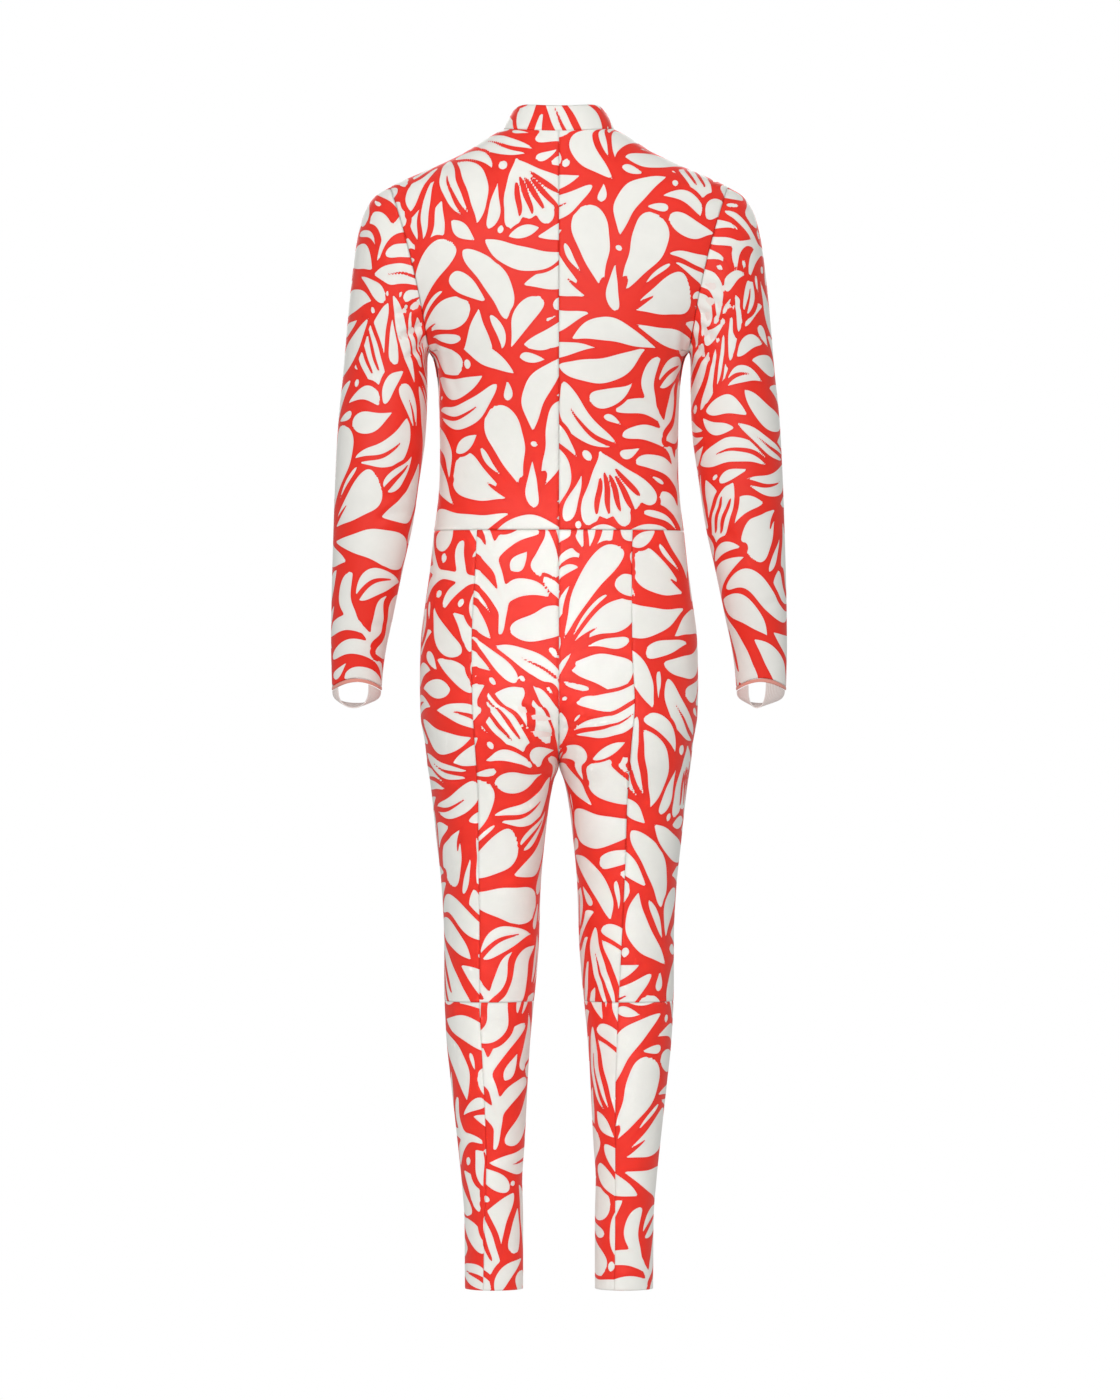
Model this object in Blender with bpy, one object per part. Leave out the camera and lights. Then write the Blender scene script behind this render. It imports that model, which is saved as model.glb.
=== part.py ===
"""Ski race suit: a hollow, one-piece stretch garment standing as if worn.

Units are metres, +Z is up, the garment faces -Y and its back is towards +Y. The origin is on
the centre-back neck line: z = 0 is the collar seam at the back, x = 0 the middle of the body
and y = 0 the plane of the shoulder points. The tables below are in millimetres.
"""
import math

import bmesh
import bpy
from mathutils import Vector

MM = 0.001
CLOTH = 1.6 * MM            # thickness of the cloth wall
SEAM_GAP = 0.3 * MM         # clear space between two pieces at a seam
BINDING_CLOTH = 2.2 * MM    # elastic edge binding at the wrists
BINDING_HEIGHT = 4.6 * MM
LOOP_CLOTH = 1.4 * MM       # elastic strap that goes round the hand
MITRE_LIMIT = 0.42          # least cosine used where two walls meet in a fold

# Heights of the body, from the nape down.
ARMPIT = (156, -262)        # x, z
SHOULDER = (203, -64)       # x, z of the shoulder point
ARMHOLE_DEPTH = 68          # half the armhole's size front to back
ARMHOLE_BOW = 5             # how far the armhole's middle lies in from a straight line
WAIST = -477
CROTCH = -757
CROTCH_RISE = 105           # height over which the two legs part
KNEE = -1041
HEM = -1386

NECK_HALF = 66              # half-width of the neck seam
NECK_SIDE = 5               # z of the neck seam at the sides
NECK_FRONT = -48            # z of the neck seam at the front

ZIP_HALF = 3.5 * MM         # half-width of the zip between the front panels
CHAIN_HALF = 2.2 * MM
CHAIN_RAISE = 1.0 * MM

# Slider and pull, measured from the hinge pin of the pull.
PIN_RADIUS = 0.80 * MM
EYE_HOLE = 0.88 * MM
EYE_RADIUS = 1.9 * MM
EYE_WIDTH = 2.6 * MM
LUG_IN = 1.6 * MM
LUG_OUT = 2.6 * MM
BODY_DEPTH = 2.6 * MM
BODY_FRONT = 2.5 * MM       # from the pin back to the slider's front face
PULL_LENGTH = 24 * MM
PULL_HALF = 2.6 * MM
PULL_CLOTH = 1.2 * MM
SLIDER_TOP = -13 * MM
SLIDER_HEIGHT = 9.5 * MM
SLIDER_HALF = 3.6 * MM
PIN_DROP = 4.2 * MM         # from the slider's top to the pin

SEGMENTS_SLEEVE = 24
SEGMENTS_BACK = 12          # columns from centre back to the side seam
SEGMENTS_FRONT = 12         # columns from the side seam to centre front
SEGMENTS_PRINCESS = 6       # columns from centre back or inseam to the back leg seam
NECK_SHARE = 5 / 12         # share of the torso's columns that end at the neck seam

# Shoulder line: half-width of the body at each height above the shoulder point.
RIDGE = (
    # z, half_width
    (-64, 203),
    (-56, 187),
    (-44, 159),
    (-32, 132),
    (-20, 109),
    (-8, 90),
    (0, 77),
    (5, 66.5),
)

# Torso depth: y of the centre back and of the centre front, and the roundness of the section.
TORSO = (
    # z, back, front, power
    (5, 52, -40, 2.1),
    (0, 55, -42, 2.1),
    (-30, 68, -50, 2.1),
    (-48, 75, -58, 2.1),
    (-90, 90, -75, 2.2),
    (-130, 99, -94, 2.3),
    (-180, 105, -114, 2.3),
    (-240, 105, -125, 2.3),
    (-290, 100, -119, 2.3),
    (-340, 92, -106, 2.3),
    (-400, 82, -95, 2.3),
    (-440, 77, -92, 2.3),
    (WAIST, 76, -92, 2.3),
)

# Side line of the torso under the armpit; each row is also a row of the mesh.
TORSO_SIDE = (
    # z, half_width
    (-262, 156),
    (-270, 151.5),
    (-285, 148),
    (-310, 145),
    (-345, 143.5),
    (-380, 143),
    (-415, 143.5),
    (-447, 146),
    (WAIST, 150),
)

# Sections of one leg, from the waist to the ankle hem.
LEG = (
    # z, inner x, outer x, back y, front y, y of the side, power
    (WAIST, 0, 150, 76, -92, 0, 2.3),
    (-520, 0, 154.5, 84, -97, 0, 2.3),
    (-560, 0, 160, 95, -100, 1, 2.35),
    (-610, 0, 166, 108, -101, 3, 2.4),
    (-660, 0, 167, 116, -99, 6, 2.45),
    (-700, 0, 166, 117, -96, 8, 2.5),
    (-730, 0, 161, 113, -94, 8, 2.5),
    (CROTCH, 0, 158, 106, -92, 8, 2.5),
    (-776, 6, 155, 98, -90, 6, 2.4),
    (-800, 11, 152, 90, -88, 4, 2.3),
    (-848, 17, 147, 82, -85, 2, 2.2),
    (-905, 22, 141, 75, -79, 0, 2.1),
    (-968, 24, 138, 68, -70, 0, 2.05),
    (-1016, 27.5, 138, 64, -63, 1, 2.0),
    (KNEE, 30, 137.5, 62, -60, 3, 2.0),
    (-1088, 34.5, 135, 63, -54, 6, 2.0),
    (-1136, 37.5, 130, 64, -48, 9, 2.0),
    (-1208, 41, 122, 59, -42, 9, 2.0),
    (-1256, 44, 117, 53, -38, 8, 2.0),
    (-1304, 43, 113.5, 49, -35, 7, 2.0),
    (HEM, 43, 113, 48, -34, 7, 2.0),
)
HIP_ROWS = (WAIST, -508, -540, -575, -612, -640, -660, -687, -710, -728, -742, -752, CROTCH)
THIGH_ROWS = (-768, -790, -822, -862, -905, -950, -995, KNEE)
CALF_ROWS = (KNEE, -1065, -1098, -1134, -1172, -1212, -1256, -1304, -1346, HEM)

# Where the long back leg seam runs, seen from behind.
BACK_LEG_SEAM = (
    # z, x on the left leg, x on the right leg
    (WAIST, 98, 88),
    (-521, 100, 87),
    (-612, 104, 87),
    (-685, 103, 90),
    (-734, 100, 86),
    (-808, 96, 81),
    (-875, 96, 79),
    (-943, 95, 76),
    (KNEE, 95, 71),
    (-1085, 93, 69),
    (-1160, 89, 67),
    (-1232, 87, 67),
    (-1301, 89, 67),
    (HEM, 91, 66),
)

# Sleeve rings: the underarm point, the outer point, the y of the middle, half the depth, how
# far the ring's middle bows in to the body, and how far it arches up at front and back.
SLEEVE = (
    # inner x, inner z, outer x, outer z, y, depth, bow, arch
    (156, -262, 203, -64, 0, 68, 5, 0),
    (157.5, -266, 221, -75, 0, 67, 3, 0),
    (158, -274, 235, -98, 0, 65.5, 1, 0),
    (158, -286, 243, -130, 0, 63, 0, 0),
    (158, -305, 249, -175, 0, 60, 0, 0),
    (158.5, -330, 254, -225, 0, 57, 0, 0),
    (160.5, -365, 259, -285, 1, 55, 0, 0),
    (166, -405, 265, -345, 3, 53, 0, 0),
    (171.5, -440, 268, -400, 5, 51, 0, 0),
    (177, -475, 270, -450, 6, 48, 0, 0),
    (189, -530, 272, -515, 5, 44, 0, 0),
    (199.5, -580, 273.5, -573, 1, 39, 0, 0),
    (208, -620, 274, -617, -4, 35, 0, 2),
    (211.5, -645, 273.5, -643, -6, 32, 0, 6),
    (213, -664, 273, -664, -8, 30, 0, 10),
)

# The collar from its seam to its top edge.
COLLAR = (
    # share of the height, how far the ring has closed in to its top size
    (0.0, 0.0),
    (0.3, 0.22),
    (0.6, 0.52),
    (0.85, 0.82),
    (1.0, 1.0),
)
COLLAR_TOP_HALF = 56
COLLAR_TOP_BACK = 40
COLLAR_TOP_FRONT = -58
COLLAR_HEIGHTS = (31.5, 22, 41)   # at the back, at the sides and at the front
COLLAR_TURN_BACK = 8            # how squarely the top edge turns down from the back to the sides
COLLAR_TURN_FRONT = 2           # and from the front to the sides

# Where each hand loop is sewn: angles round the cuff of its near and its far edge, first at the
# underarm side (0) and then at the outer side (180), with the back of the wrist at 90.
LOOP_ENDS = {
    # side: (near, far) underarm, (near, far) outer
    "left": ((60, 8), (140, 185)),
    "right": ((57, 5), (100, 165)),
}
LOOP_STEPS = 18
LOOP_ACROSS = 4
LOOP_ROUND = 0.85               # below 1 the U is fuller than a half wave
LOOP_DROP_NEAR = (8, -20.5)     # y and z of the near edge at the bottom of the loop
LOOP_DROP_FAR = (-6, -15.0)

COLOURS = {
    # name: sRGB colour, roughness, metallic
    "printed_knit": ((0.86, 0.28, 0.22), 0.75, 0.0),
    "elastic": ((0.93, 0.86, 0.84), 0.8, 0.0),
    "zip_tape": ((0.80, 0.17, 0.13), 0.7, 0.0),
    "metal": ((0.72, 0.72, 0.74), 0.3, 1.0),
}


def smooth_column(rows, index, z):
    """One column of a table at height z, drawn as a smooth curve with no overshoot."""
    rows = sorted(rows)
    z = min(max(z, rows[0][0]), rows[-1][0])
    k = 0
    while k < len(rows) - 2 and z > rows[k + 1][0]:
        k += 1
    slopes = []
    for i in range(len(rows)):
        below = rows[max(i - 1, 0)]
        above = rows[min(i + 1, len(rows) - 1)]
        here = rows[i]
        if below is here or above is here:
            slopes.append((above[index] - below[index]) / (above[0] - below[0]))
            continue
        left = (here[index] - below[index]) / (here[0] - below[0])
        right = (above[index] - here[index]) / (above[0] - here[0])
        slopes.append(0.0 if left * right <= 0 else 2 * left * right / (left + right))
    z0, z1 = rows[k][0], rows[k + 1][0]
    v0, v1 = rows[k][index], rows[k + 1][index]
    t = (z - z0) / (z1 - z0)
    span = z1 - z0
    return (v0 * (1 + 2 * t) * (1 - t) ** 2 + v1 * t * t * (3 - 2 * t)
            + slopes[k] * span * t * (1 - t) ** 2 - slopes[k + 1] * span * t * t * (1 - t))


def signed_power(value, power):
    return math.copysign(abs(value) ** power, value)


def armhole_point(share):
    """Back half of the left armhole; share is 0 at the armpit and 1 at the shoulder point."""
    height = (1 - math.cos(math.pi * share)) / 2
    depth = math.sin(math.pi * share)
    x = ARMPIT[0] + (SHOULDER[0] - ARMPIT[0]) * height - ARMHOLE_BOW * depth ** 2
    z = ARMPIT[1] + (SHOULDER[1] - ARMPIT[1]) * height
    return x, ARMHOLE_DEPTH * depth, z


def torso_half_width(z, depth):
    """Half-width of the torso section at z that passes through the armhole or the ridge."""
    if z >= SHOULDER[1]:
        return smooth_column(RIDGE, 1, z)
    share = math.acos(1 - 2 * (z - ARMPIT[1]) / (SHOULDER[1] - ARMPIT[1])) / math.pi
    x, y, _ = armhole_point(share)
    power = smooth_column(TORSO, 3, z)
    return x / (1 - (y / abs(depth)) ** power) ** (1 / power)


def torso_depth(x, z, column):
    """y of the torso surface at x and z; column 1 is the back and column 2 the front."""
    depth = smooth_column(TORSO, column, z)
    power = smooth_column(TORSO, 3, z)
    ratio = min(abs(x) / torso_half_width(z, depth), 1.0)
    return depth * (1 - ratio ** power) ** (1 / power)


def princess_angle(x, half_width, power):
    return math.asin((x / half_width) ** (power / 2))


def back_angles(side):
    """Angles of the torso's back columns, with one of them on the back leg seam's top."""
    seam = princess_angle(BACK_LEG_SEAM[0][side], LEG[0][2], LEG[0][6])
    first = [seam * j / SEGMENTS_PRINCESS for j in range(SEGMENTS_PRINCESS)]
    count = SEGMENTS_BACK - SEGMENTS_PRINCESS
    last = [seam + (math.pi / 2 - seam) * j / count for j in range(count + 1)]
    return first + last


def height_at_depth(x, y):
    """Height at which the front of the torso passes through x and y, found by halving."""
    low, high = NECK_FRONT, NECK_SIDE
    for _ in range(40):
        middle = (low + high) / 2
        if torso_depth(x, middle, 2) > y:
            high = middle
        else:
            low = middle
    return (low + high) / 2


def top_edge(share, column):
    """The neck seam and the shoulder seam, from the middle of the body (0) out (1)."""
    if share <= NECK_SHARE:
        turn = share / NECK_SHARE * math.pi / 2
        x = NECK_HALF * math.sin(turn)
        if column == 1 or share == NECK_SHARE:
            return x, NECK_SIDE * math.sin(turn) ** 2
        return x, height_at_depth(x, smooth_column(TORSO, 2, NECK_FRONT) * math.cos(turn))
    along = (share - NECK_SHARE) / (1 - NECK_SHARE)
    x = NECK_HALF + (SHOULDER[0] - NECK_HALF) * along
    inverse = sorted((width, z) for z, width in RIDGE)
    return x, smooth_column(inverse, 1, x)


def bodice_rows(side, column):
    """Rows of the left half of the bodice, back (column 1) or front (column 2), neck first."""
    angles = back_angles(side)
    if column == 2:
        angles = [math.pi / 2 * j / SEGMENTS_FRONT for j in range(SEGMENTS_FRONT + 1)]
    rows = []
    count = SEGMENTS_SLEEVE // 2
    for i in range(count, -1, -1):
        share = i / count
        arm_x, arm_y, arm_z = armhole_point(share)
        height = (1 - math.cos(math.pi * share)) / 2
        depth = smooth_column(TORSO, column, arm_z)
        power = smooth_column(TORSO, 3, arm_z)
        half = torso_half_width(arm_z, depth)
        last = princess_angle(arm_x, half, power) if 0 < i < count else math.pi / 2
        row = []
        for j, angle in enumerate(angles):
            across = j / (len(angles) - 1)
            top_x, top_z = top_edge(across, column)
            z = ARMPIT[1] + (top_z - ARMPIT[1]) * height
            turned = math.sin(angle / (math.pi / 2) * last) ** (2 / power)
            body_x = arm_x * turned / math.sin(last) ** (2 / power)
            blend = height ** 2
            x = body_x * (1 - blend) + top_x * arm_x / SHOULDER[0] * blend
            if j == len(angles) - 1:
                y = math.copysign(arm_y, depth)
                x = arm_x
            elif i == count and across >= NECK_SHARE:
                y = 0.0
            else:
                y = torso_depth(x, z, column)
            row.append(Vector((x, y, z)) * MM)
        rows.append(row)
    for z, half in TORSO_SIDE[1:]:
        depth = smooth_column(TORSO, column, z)
        power = smooth_column(TORSO, 3, z)
        row = []
        for angle in angles:
            x = half * math.sin(angle) ** (2 / power)
            y = depth * max(math.cos(angle), 0.0) ** (2 / power)
            row.append(Vector((x, y, z)) * MM)
        rows.append(row)
    if column == 2:
        rows = [row[::-1] for row in rows]
        for row in rows:
            row[-1].x = ZIP_HALF
    return rows


def leg_row(z, side):
    """One section of the left leg, from centre back or the inseam round to the front."""
    inner, outer, back, front, middle, power = (smooth_column(LEG, k, z) for k in range(1, 7))
    if z > CROTCH:
        ratio = 1 - min(1.0, (z - CROTCH) / CROTCH_RISE) ** 1.4
        half = outer / (1 + ratio)
        centre = half * ratio
    else:
        half = (outer - inner) / 2
        centre = (outer + inner) / 2
        ratio = 1.0
    start = math.acos(min(ratio ** (power / 2), 1.0))
    seam_x = smooth_column(BACK_LEG_SEAM, side, z)
    seam = math.acos(signed_power((centre - seam_x) / half, power / 2))
    count = SEGMENTS_BACK - SEGMENTS_PRINCESS
    angles = [start + (seam - start) * j / SEGMENTS_PRINCESS for j in range(SEGMENTS_PRINCESS)]
    angles += [seam + (math.pi - seam) * j / count for j in range(count)]
    angles += [math.pi + (math.pi - start) * j / SEGMENTS_FRONT for j in range(SEGMENTS_FRONT + 1)]
    row = []
    for angle in angles:
        x = centre - half * signed_power(math.cos(angle), 2 / power)
        reach = (back if math.sin(angle) > 0 else front) - middle
        y = middle + reach * abs(math.sin(angle)) ** (2 / power)
        row.append(Vector((x, y, z)) * MM)
    if z >= CROTCH:
        row[0].x = 0.0
        row[-1].x = 0.0
    if z <= CROTCH:
        row[-1] = row[0].copy()
    return row


def sleeve_rows():
    """Rings of the left sleeve, each starting at the underarm and going round the back."""
    rows = []
    for inner_x, inner_z, outer_x, outer_z, y, depth, bow, arch in SLEEVE:
        row = []
        for j in range(SEGMENTS_SLEEVE):
            angle = 2 * math.pi * j / SEGMENTS_SLEEVE
            share = (1 - math.cos(angle)) / 2
            rise = math.sin(angle) ** 2
            x = inner_x + (outer_x - inner_x) * share - bow * rise
            z = inner_z + (outer_z - inner_z) * share + arch * rise
            row.append(Vector((x, y + depth * math.sin(angle), z)) * MM)
        rows.append(row)
    return rows


def collar_rows(neck):
    """Rings of the collar from its top edge down to the neck seam, clockwise from above."""
    rows = []
    count = len(neck)
    middle = (COLLAR_TOP_BACK + COLLAR_TOP_FRONT) / 2
    reach = (COLLAR_TOP_BACK - COLLAR_TOP_FRONT) / 2
    back, side, front = COLLAR_HEIGHTS
    for share, closed in reversed(COLLAR):
        row = []
        for j, base in enumerate(neck):
            turn = 2 * math.pi * j / (count - 1)
            x = -COLLAR_TOP_HALF * math.sin(turn) * MM
            y = (middle - reach * math.cos(turn)) * MM
            at_front = math.cos(turn) > 0
            ends = front if at_front else back
            level = 1 - abs(math.sin(turn)) ** (COLLAR_TURN_FRONT if at_front else COLLAR_TURN_BACK)
            height = (side + (ends - side) * level) * MM
            if j in (0, count - 1):
                x = math.copysign(ZIP_HALF, base.x)
            row.append(Vector((base.x + (x - base.x) * closed, base.y + (y - base.y) * closed,
                               base.z + height * share)))
        rows.append(row)
    return rows


def mirrored(rows):
    """The same grid on the other side of the body, with its outside still out."""
    return [[Vector((-point.x, point.y, point.z)) for point in reversed(row)] for row in rows]


def place_key(point):
    return tuple(round(value * 1e6) for value in point)


def skin_normals(grids):
    """Outward normal and mitre of every point, taken from all the pieces sewn together."""
    mesh = bmesh.new()
    points = {}
    for rows, _ in grids:
        for row in rows:
            for point in row:
                if place_key(point) not in points:
                    points[place_key(point)] = mesh.verts.new(point)
    for rows, closed in grids:
        for i in range(len(rows) - 1):
            width = len(rows[i])
            for j in range(width if closed else width - 1):
                k = (j + 1) % width
                corners = (rows[i][j], rows[i][k], rows[i + 1][k], rows[i + 1][j])
                verts = list(dict.fromkeys(points[place_key(corner)] for corner in corners))
                if len(verts) > 2 and mesh.faces.get(verts) is None:
                    mesh.faces.new(verts)
    mesh.normal_update()
    normals = {}
    for key, vert in points.items():
        facing = [vert.normal.dot(face.normal) for face in vert.link_faces]
        normals[key] = (vert.normal.copy(), max(min(facing), MITRE_LIMIT))
    mesh.free()
    return normals


def border_loops(rows, closed):
    """Grid places along the piece's own edges, in the order that keeps the piece on the left."""
    last_i = len(rows) - 1
    last_j = len(rows[0]) - 1
    top = [(0, j) for j in range(last_j + 1)]
    bottom = [(last_i, j) for j in range(last_j, -1, -1)]
    if closed:
        return [top, bottom]
    right = [(i, last_j) for i in range(1, last_i)]
    left = [(i, 0) for i in range(last_i - 1, 0, -1)]
    return [top + right + bottom + left]


def seam_insets(rows, normals, closed):
    """How far each edge point moves into its piece, so that every seam is open by its gap."""
    moves = {}
    for loop in border_loops(rows, closed):
        points = [rows[i][j] for i, j in loop]
        for k, place in enumerate(loop):
            point = points[k]
            following = points[(k + 1) % len(points)]
            normal = normals[place_key(point)][0]
            before = normal.cross(point - points[k - 1]).normalized()
            after = normal.cross(following - point).normalized()
            moves[place] = (before + after) * (SEAM_GAP / 2) / max(1 + before.dot(after), 0.25)
    return moves


def wall_object(name, rows, normals, material, closed=False, thickness=CLOTH):
    """A closed cloth wall: the grid is its outside, the inside lies along shared normals."""
    mesh = bmesh.new()
    outer = []
    inner = []
    moves = seam_insets(rows, normals, closed)
    for i, row in enumerate(rows):
        outer.append([])
        inner.append([])
        for j, point in enumerate(row):
            normal, mitre = normals[place_key(point)]
            place = point + moves.get((i, j), Vector())
            outer[i].append(mesh.verts.new(place))
            inner[i].append(mesh.verts.new(place - normal * thickness / mitre))
    width = len(rows[0])
    for i in range(len(rows) - 1):
        for j in range(width if closed else width - 1):
            k = (j + 1) % width
            mesh.faces.new((outer[i][j], outer[i][k], outer[i + 1][k], outer[i + 1][j]))
            mesh.faces.new((inner[i][j], inner[i + 1][j], inner[i + 1][k], inner[i][k]))
    across = {a: b for ring, core in zip(outer, inner) for a, b in zip(ring, core)}
    rims = [edge.verts[:] for edge in mesh.edges if edge.is_boundary and edge.verts[0] in across]
    for first, second in rims:
        mesh.faces.new((first, second, across[second], across[first]))
    return finished(name, mesh, material)


def finished(name, mesh, material):
    """Turn a closed mesh into a named object with smooth shading and outward faces."""
    mesh.normal_update()
    bmesh.ops.recalc_face_normals(mesh, faces=mesh.faces)
    data = bpy.data.meshes.new(name)
    mesh.to_mesh(data)
    mesh.free()
    data.shade_smooth()
    data.set_sharp_from_angle(angle=math.radians(50))
    data.materials.append(material)
    part = bpy.data.objects.new(name, data)
    COLLECTION.objects.link(part)
    return part


def lofted_object(name, sections, material):
    """A closed solid through a list of sections that have the same number of corners."""
    mesh = bmesh.new()
    rings = [[mesh.verts.new(point) for point in section] for section in sections]
    for first, second in zip(rings, rings[1:]):
        for j in range(len(first)):
            k = (j + 1) % len(first)
            mesh.faces.new((first[j], first[k], second[k], second[j]))
    mesh.faces.new(rings[0][::-1])
    mesh.faces.new(rings[-1])
    return finished(name, mesh, material)


def strap_object(name, sections, material):
    """A closed strip through its sections, whose ends are closed from one side to the other."""
    mesh = bmesh.new()
    rings = [[mesh.verts.new(point) for point in section] for section in sections]
    count = len(rings[0])
    for first, second in zip(rings, rings[1:]):
        for j in range(count):
            k = (j + 1) % count
            mesh.faces.new((first[j], first[k], second[k], second[j]))
    for ring in (rings[0], rings[-1]):
        for j in range(count // 2 - 1):
            mesh.faces.new((ring[j], ring[j + 1], ring[count - 2 - j], ring[count - 1 - j]))
    return finished(name, mesh, material)


def make_material(name, colour, roughness, metallic):
    material = bpy.data.materials.new(name)
    material.use_nodes = True
    shader = material.node_tree.nodes["Principled BSDF"]
    linear = [value / 12.92 if value <= 0.04045 else ((value + 0.055) / 1.055) ** 2.4
              for value in colour]
    shader.inputs["Base Color"].default_value = (*linear, 1.0)
    shader.inputs["Roughness"].default_value = roughness
    shader.inputs["Metallic"].default_value = metallic
    material.diffuse_color = (*linear, 1.0)
    return material


def binding_rows(rim):
    """The band that edges a cuff, a little proud of the sleeve it is sewn to."""
    centre = sum(rim, Vector()) / len(rim)
    rows = []
    for drop in (0.0, 0.5, 1.0):
        row = []
        for point in rim:
            out = Vector((point.x - centre.x, point.y - centre.y, 0)).normalized()
            lower = Vector((0, 0, drop * BINDING_HEIGHT))
            row.append(point + out * 0.4 * MM * math.sin(math.pi * drop) - lower)
        rows.append(row)
    return rows


def hand_loop(side, rim, material):
    """A strap in a U below a cuff; its ends follow the rim and its far edge is the smaller U."""
    centre = sum(rim, Vector()) / len(rim)
    half_x = (max(p.x for p in rim) - min(p.x for p in rim)) / 2 - BINDING_CLOTH / 2
    half_y = (max(p.y for p in rim) - min(p.y for p in rim)) / 2 - BINDING_CLOTH / 2
    arch = max(p.z for p in rim) - min(p.z for p in rim)
    low = min(p.z for p in rim) - BINDING_HEIGHT - SEAM_GAP
    underarm, outer = LOOP_ENDS[side]

    def between(pair, share):
        return pair[0] + (pair[1] - pair[0]) * share

    def rim_place(angle):
        turn = math.radians(angle)
        return Vector((-half_x * math.cos(turn), half_y * math.sin(turn),
                       arch * math.sin(turn) ** 2))

    def line(width):
        """The strap from rim to rim at a share of its width, 0 at the near edge."""
        start = rim_place(between(underarm, width))
        end = rim_place(between(outer, width))
        drop_y, drop_z = (between(pair, width) * MM for pair in zip(LOOP_DROP_NEAR, LOOP_DROP_FAR))
        points = []
        for k in range(LOOP_STEPS + 1):
            share = k / LOOP_STEPS
            dip = math.sin(math.pi * share) ** LOOP_ROUND
            place = start.lerp(end, (1 - math.cos(math.pi * share)) / 2)
            place.y += (drop_y - place.y) * dip
            place.z += (drop_z - place.z) * dip
            points.append(Vector((centre.x + place.x, centre.y + place.y, low + place.z)))
        return points

    lines = [line(j / LOOP_ACROSS) for j in range(LOOP_ACROSS + 1)]
    sections = []
    for k in range(LOOP_STEPS + 1):
        outside = []
        inside = []
        for j, points in enumerate(lines):
            along = points[min(k + 1, LOOP_STEPS)] - points[max(k - 1, 0)]
            if k in (0, LOOP_STEPS):
                along = Vector((0, 0, -1 if k == 0 else 1))
            across = lines[max(j - 1, 0)][k] - lines[min(j + 1, LOOP_ACROSS)][k]
            out = across.cross(along).normalized() * LOOP_CLOTH / 2
            outside.append(points[k] + out)
            inside.append(points[k] - out)
        section = outside + inside[::-1]
        if side == "right":
            section = [Vector((-p.x, p.y, p.z)) for p in section]
        sections.append(section)
    return strap_object(f"hand_loop_{side}", sections, material)


def zip_object(rows, normals, material):
    """Zip tape with its raised chain, down the centre front between the two edges."""
    profile = (
        # x, raise
        (-ZIP_HALF + SEAM_GAP / 2, 0),
        (-CHAIN_HALF - 0.3 * MM, 0),
        (-CHAIN_HALF, CHAIN_RAISE),
        (CHAIN_HALF, CHAIN_RAISE),
        (CHAIN_HALF + 0.3 * MM, 0),
        (ZIP_HALF - SEAM_GAP / 2, 0),
    )
    sections = []
    for i, row in enumerate(rows):
        middle = (row[0] + row[1]) / 2
        before = rows[max(i - 1, 0)]
        after = rows[min(i + 1, len(rows) - 1)]
        along = (after[0] + after[1] - before[0] - before[1]).normalized()
        out = Vector((1, 0, 0)).cross(along).normalized()
        if out.y > 0:
            out = -out
        if i == 0:
            middle = middle + along * SEAM_GAP / 2
        if i == len(rows) - 1:
            middle = middle - along * SEAM_GAP / 2
        section = [middle + Vector((x, 0, 0)) + out * raised for x, raised in profile]
        mitre = normals[place_key(row[0])][1]
        half = ZIP_HALF - SEAM_GAP / 2
        section += [middle + Vector((x, 0, 0)) - out * CLOTH / mitre for x in (half, -half)]
        sections.append(section)
    return lofted_object("zip", sections, material)


def add_box(mesh, low, high):
    size = [b - a for a, b in zip(low, high)]
    middle = [(a + b) / 2 for a, b in zip(low, high)]
    made = bmesh.ops.create_cube(mesh, size=1.0)["verts"]
    bmesh.ops.scale(mesh, verts=made, vec=size)
    bmesh.ops.translate(mesh, verts=made, vec=middle)


def add_tube(mesh, radius, width):
    """A round bar along X about the origin."""
    made = bmesh.ops.create_cone(mesh, cap_ends=True, segments=24, radius1=radius,
                                 radius2=radius, depth=width)["verts"]
    for vert in made:
        vert.co = Vector((vert.co.z, vert.co.x, vert.co.y))


def mesh_object(name, build, material):
    mesh = bmesh.new()
    build(mesh)
    return finished(name, mesh, material)


def combine(base, other, operation):
    """Join or cut with an exact boolean that is applied by the depsgraph."""
    modifier = base.modifiers.new(operation.lower(), "BOOLEAN")
    modifier.operation = operation
    modifier.solver = "EXACT"
    modifier.object = other
    for collection in list(other.users_collection):
        collection.objects.unlink(other)
    CUTTERS.objects.link(other)
    other.hide_render = True
    other.display_type = "WIRE"


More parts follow.
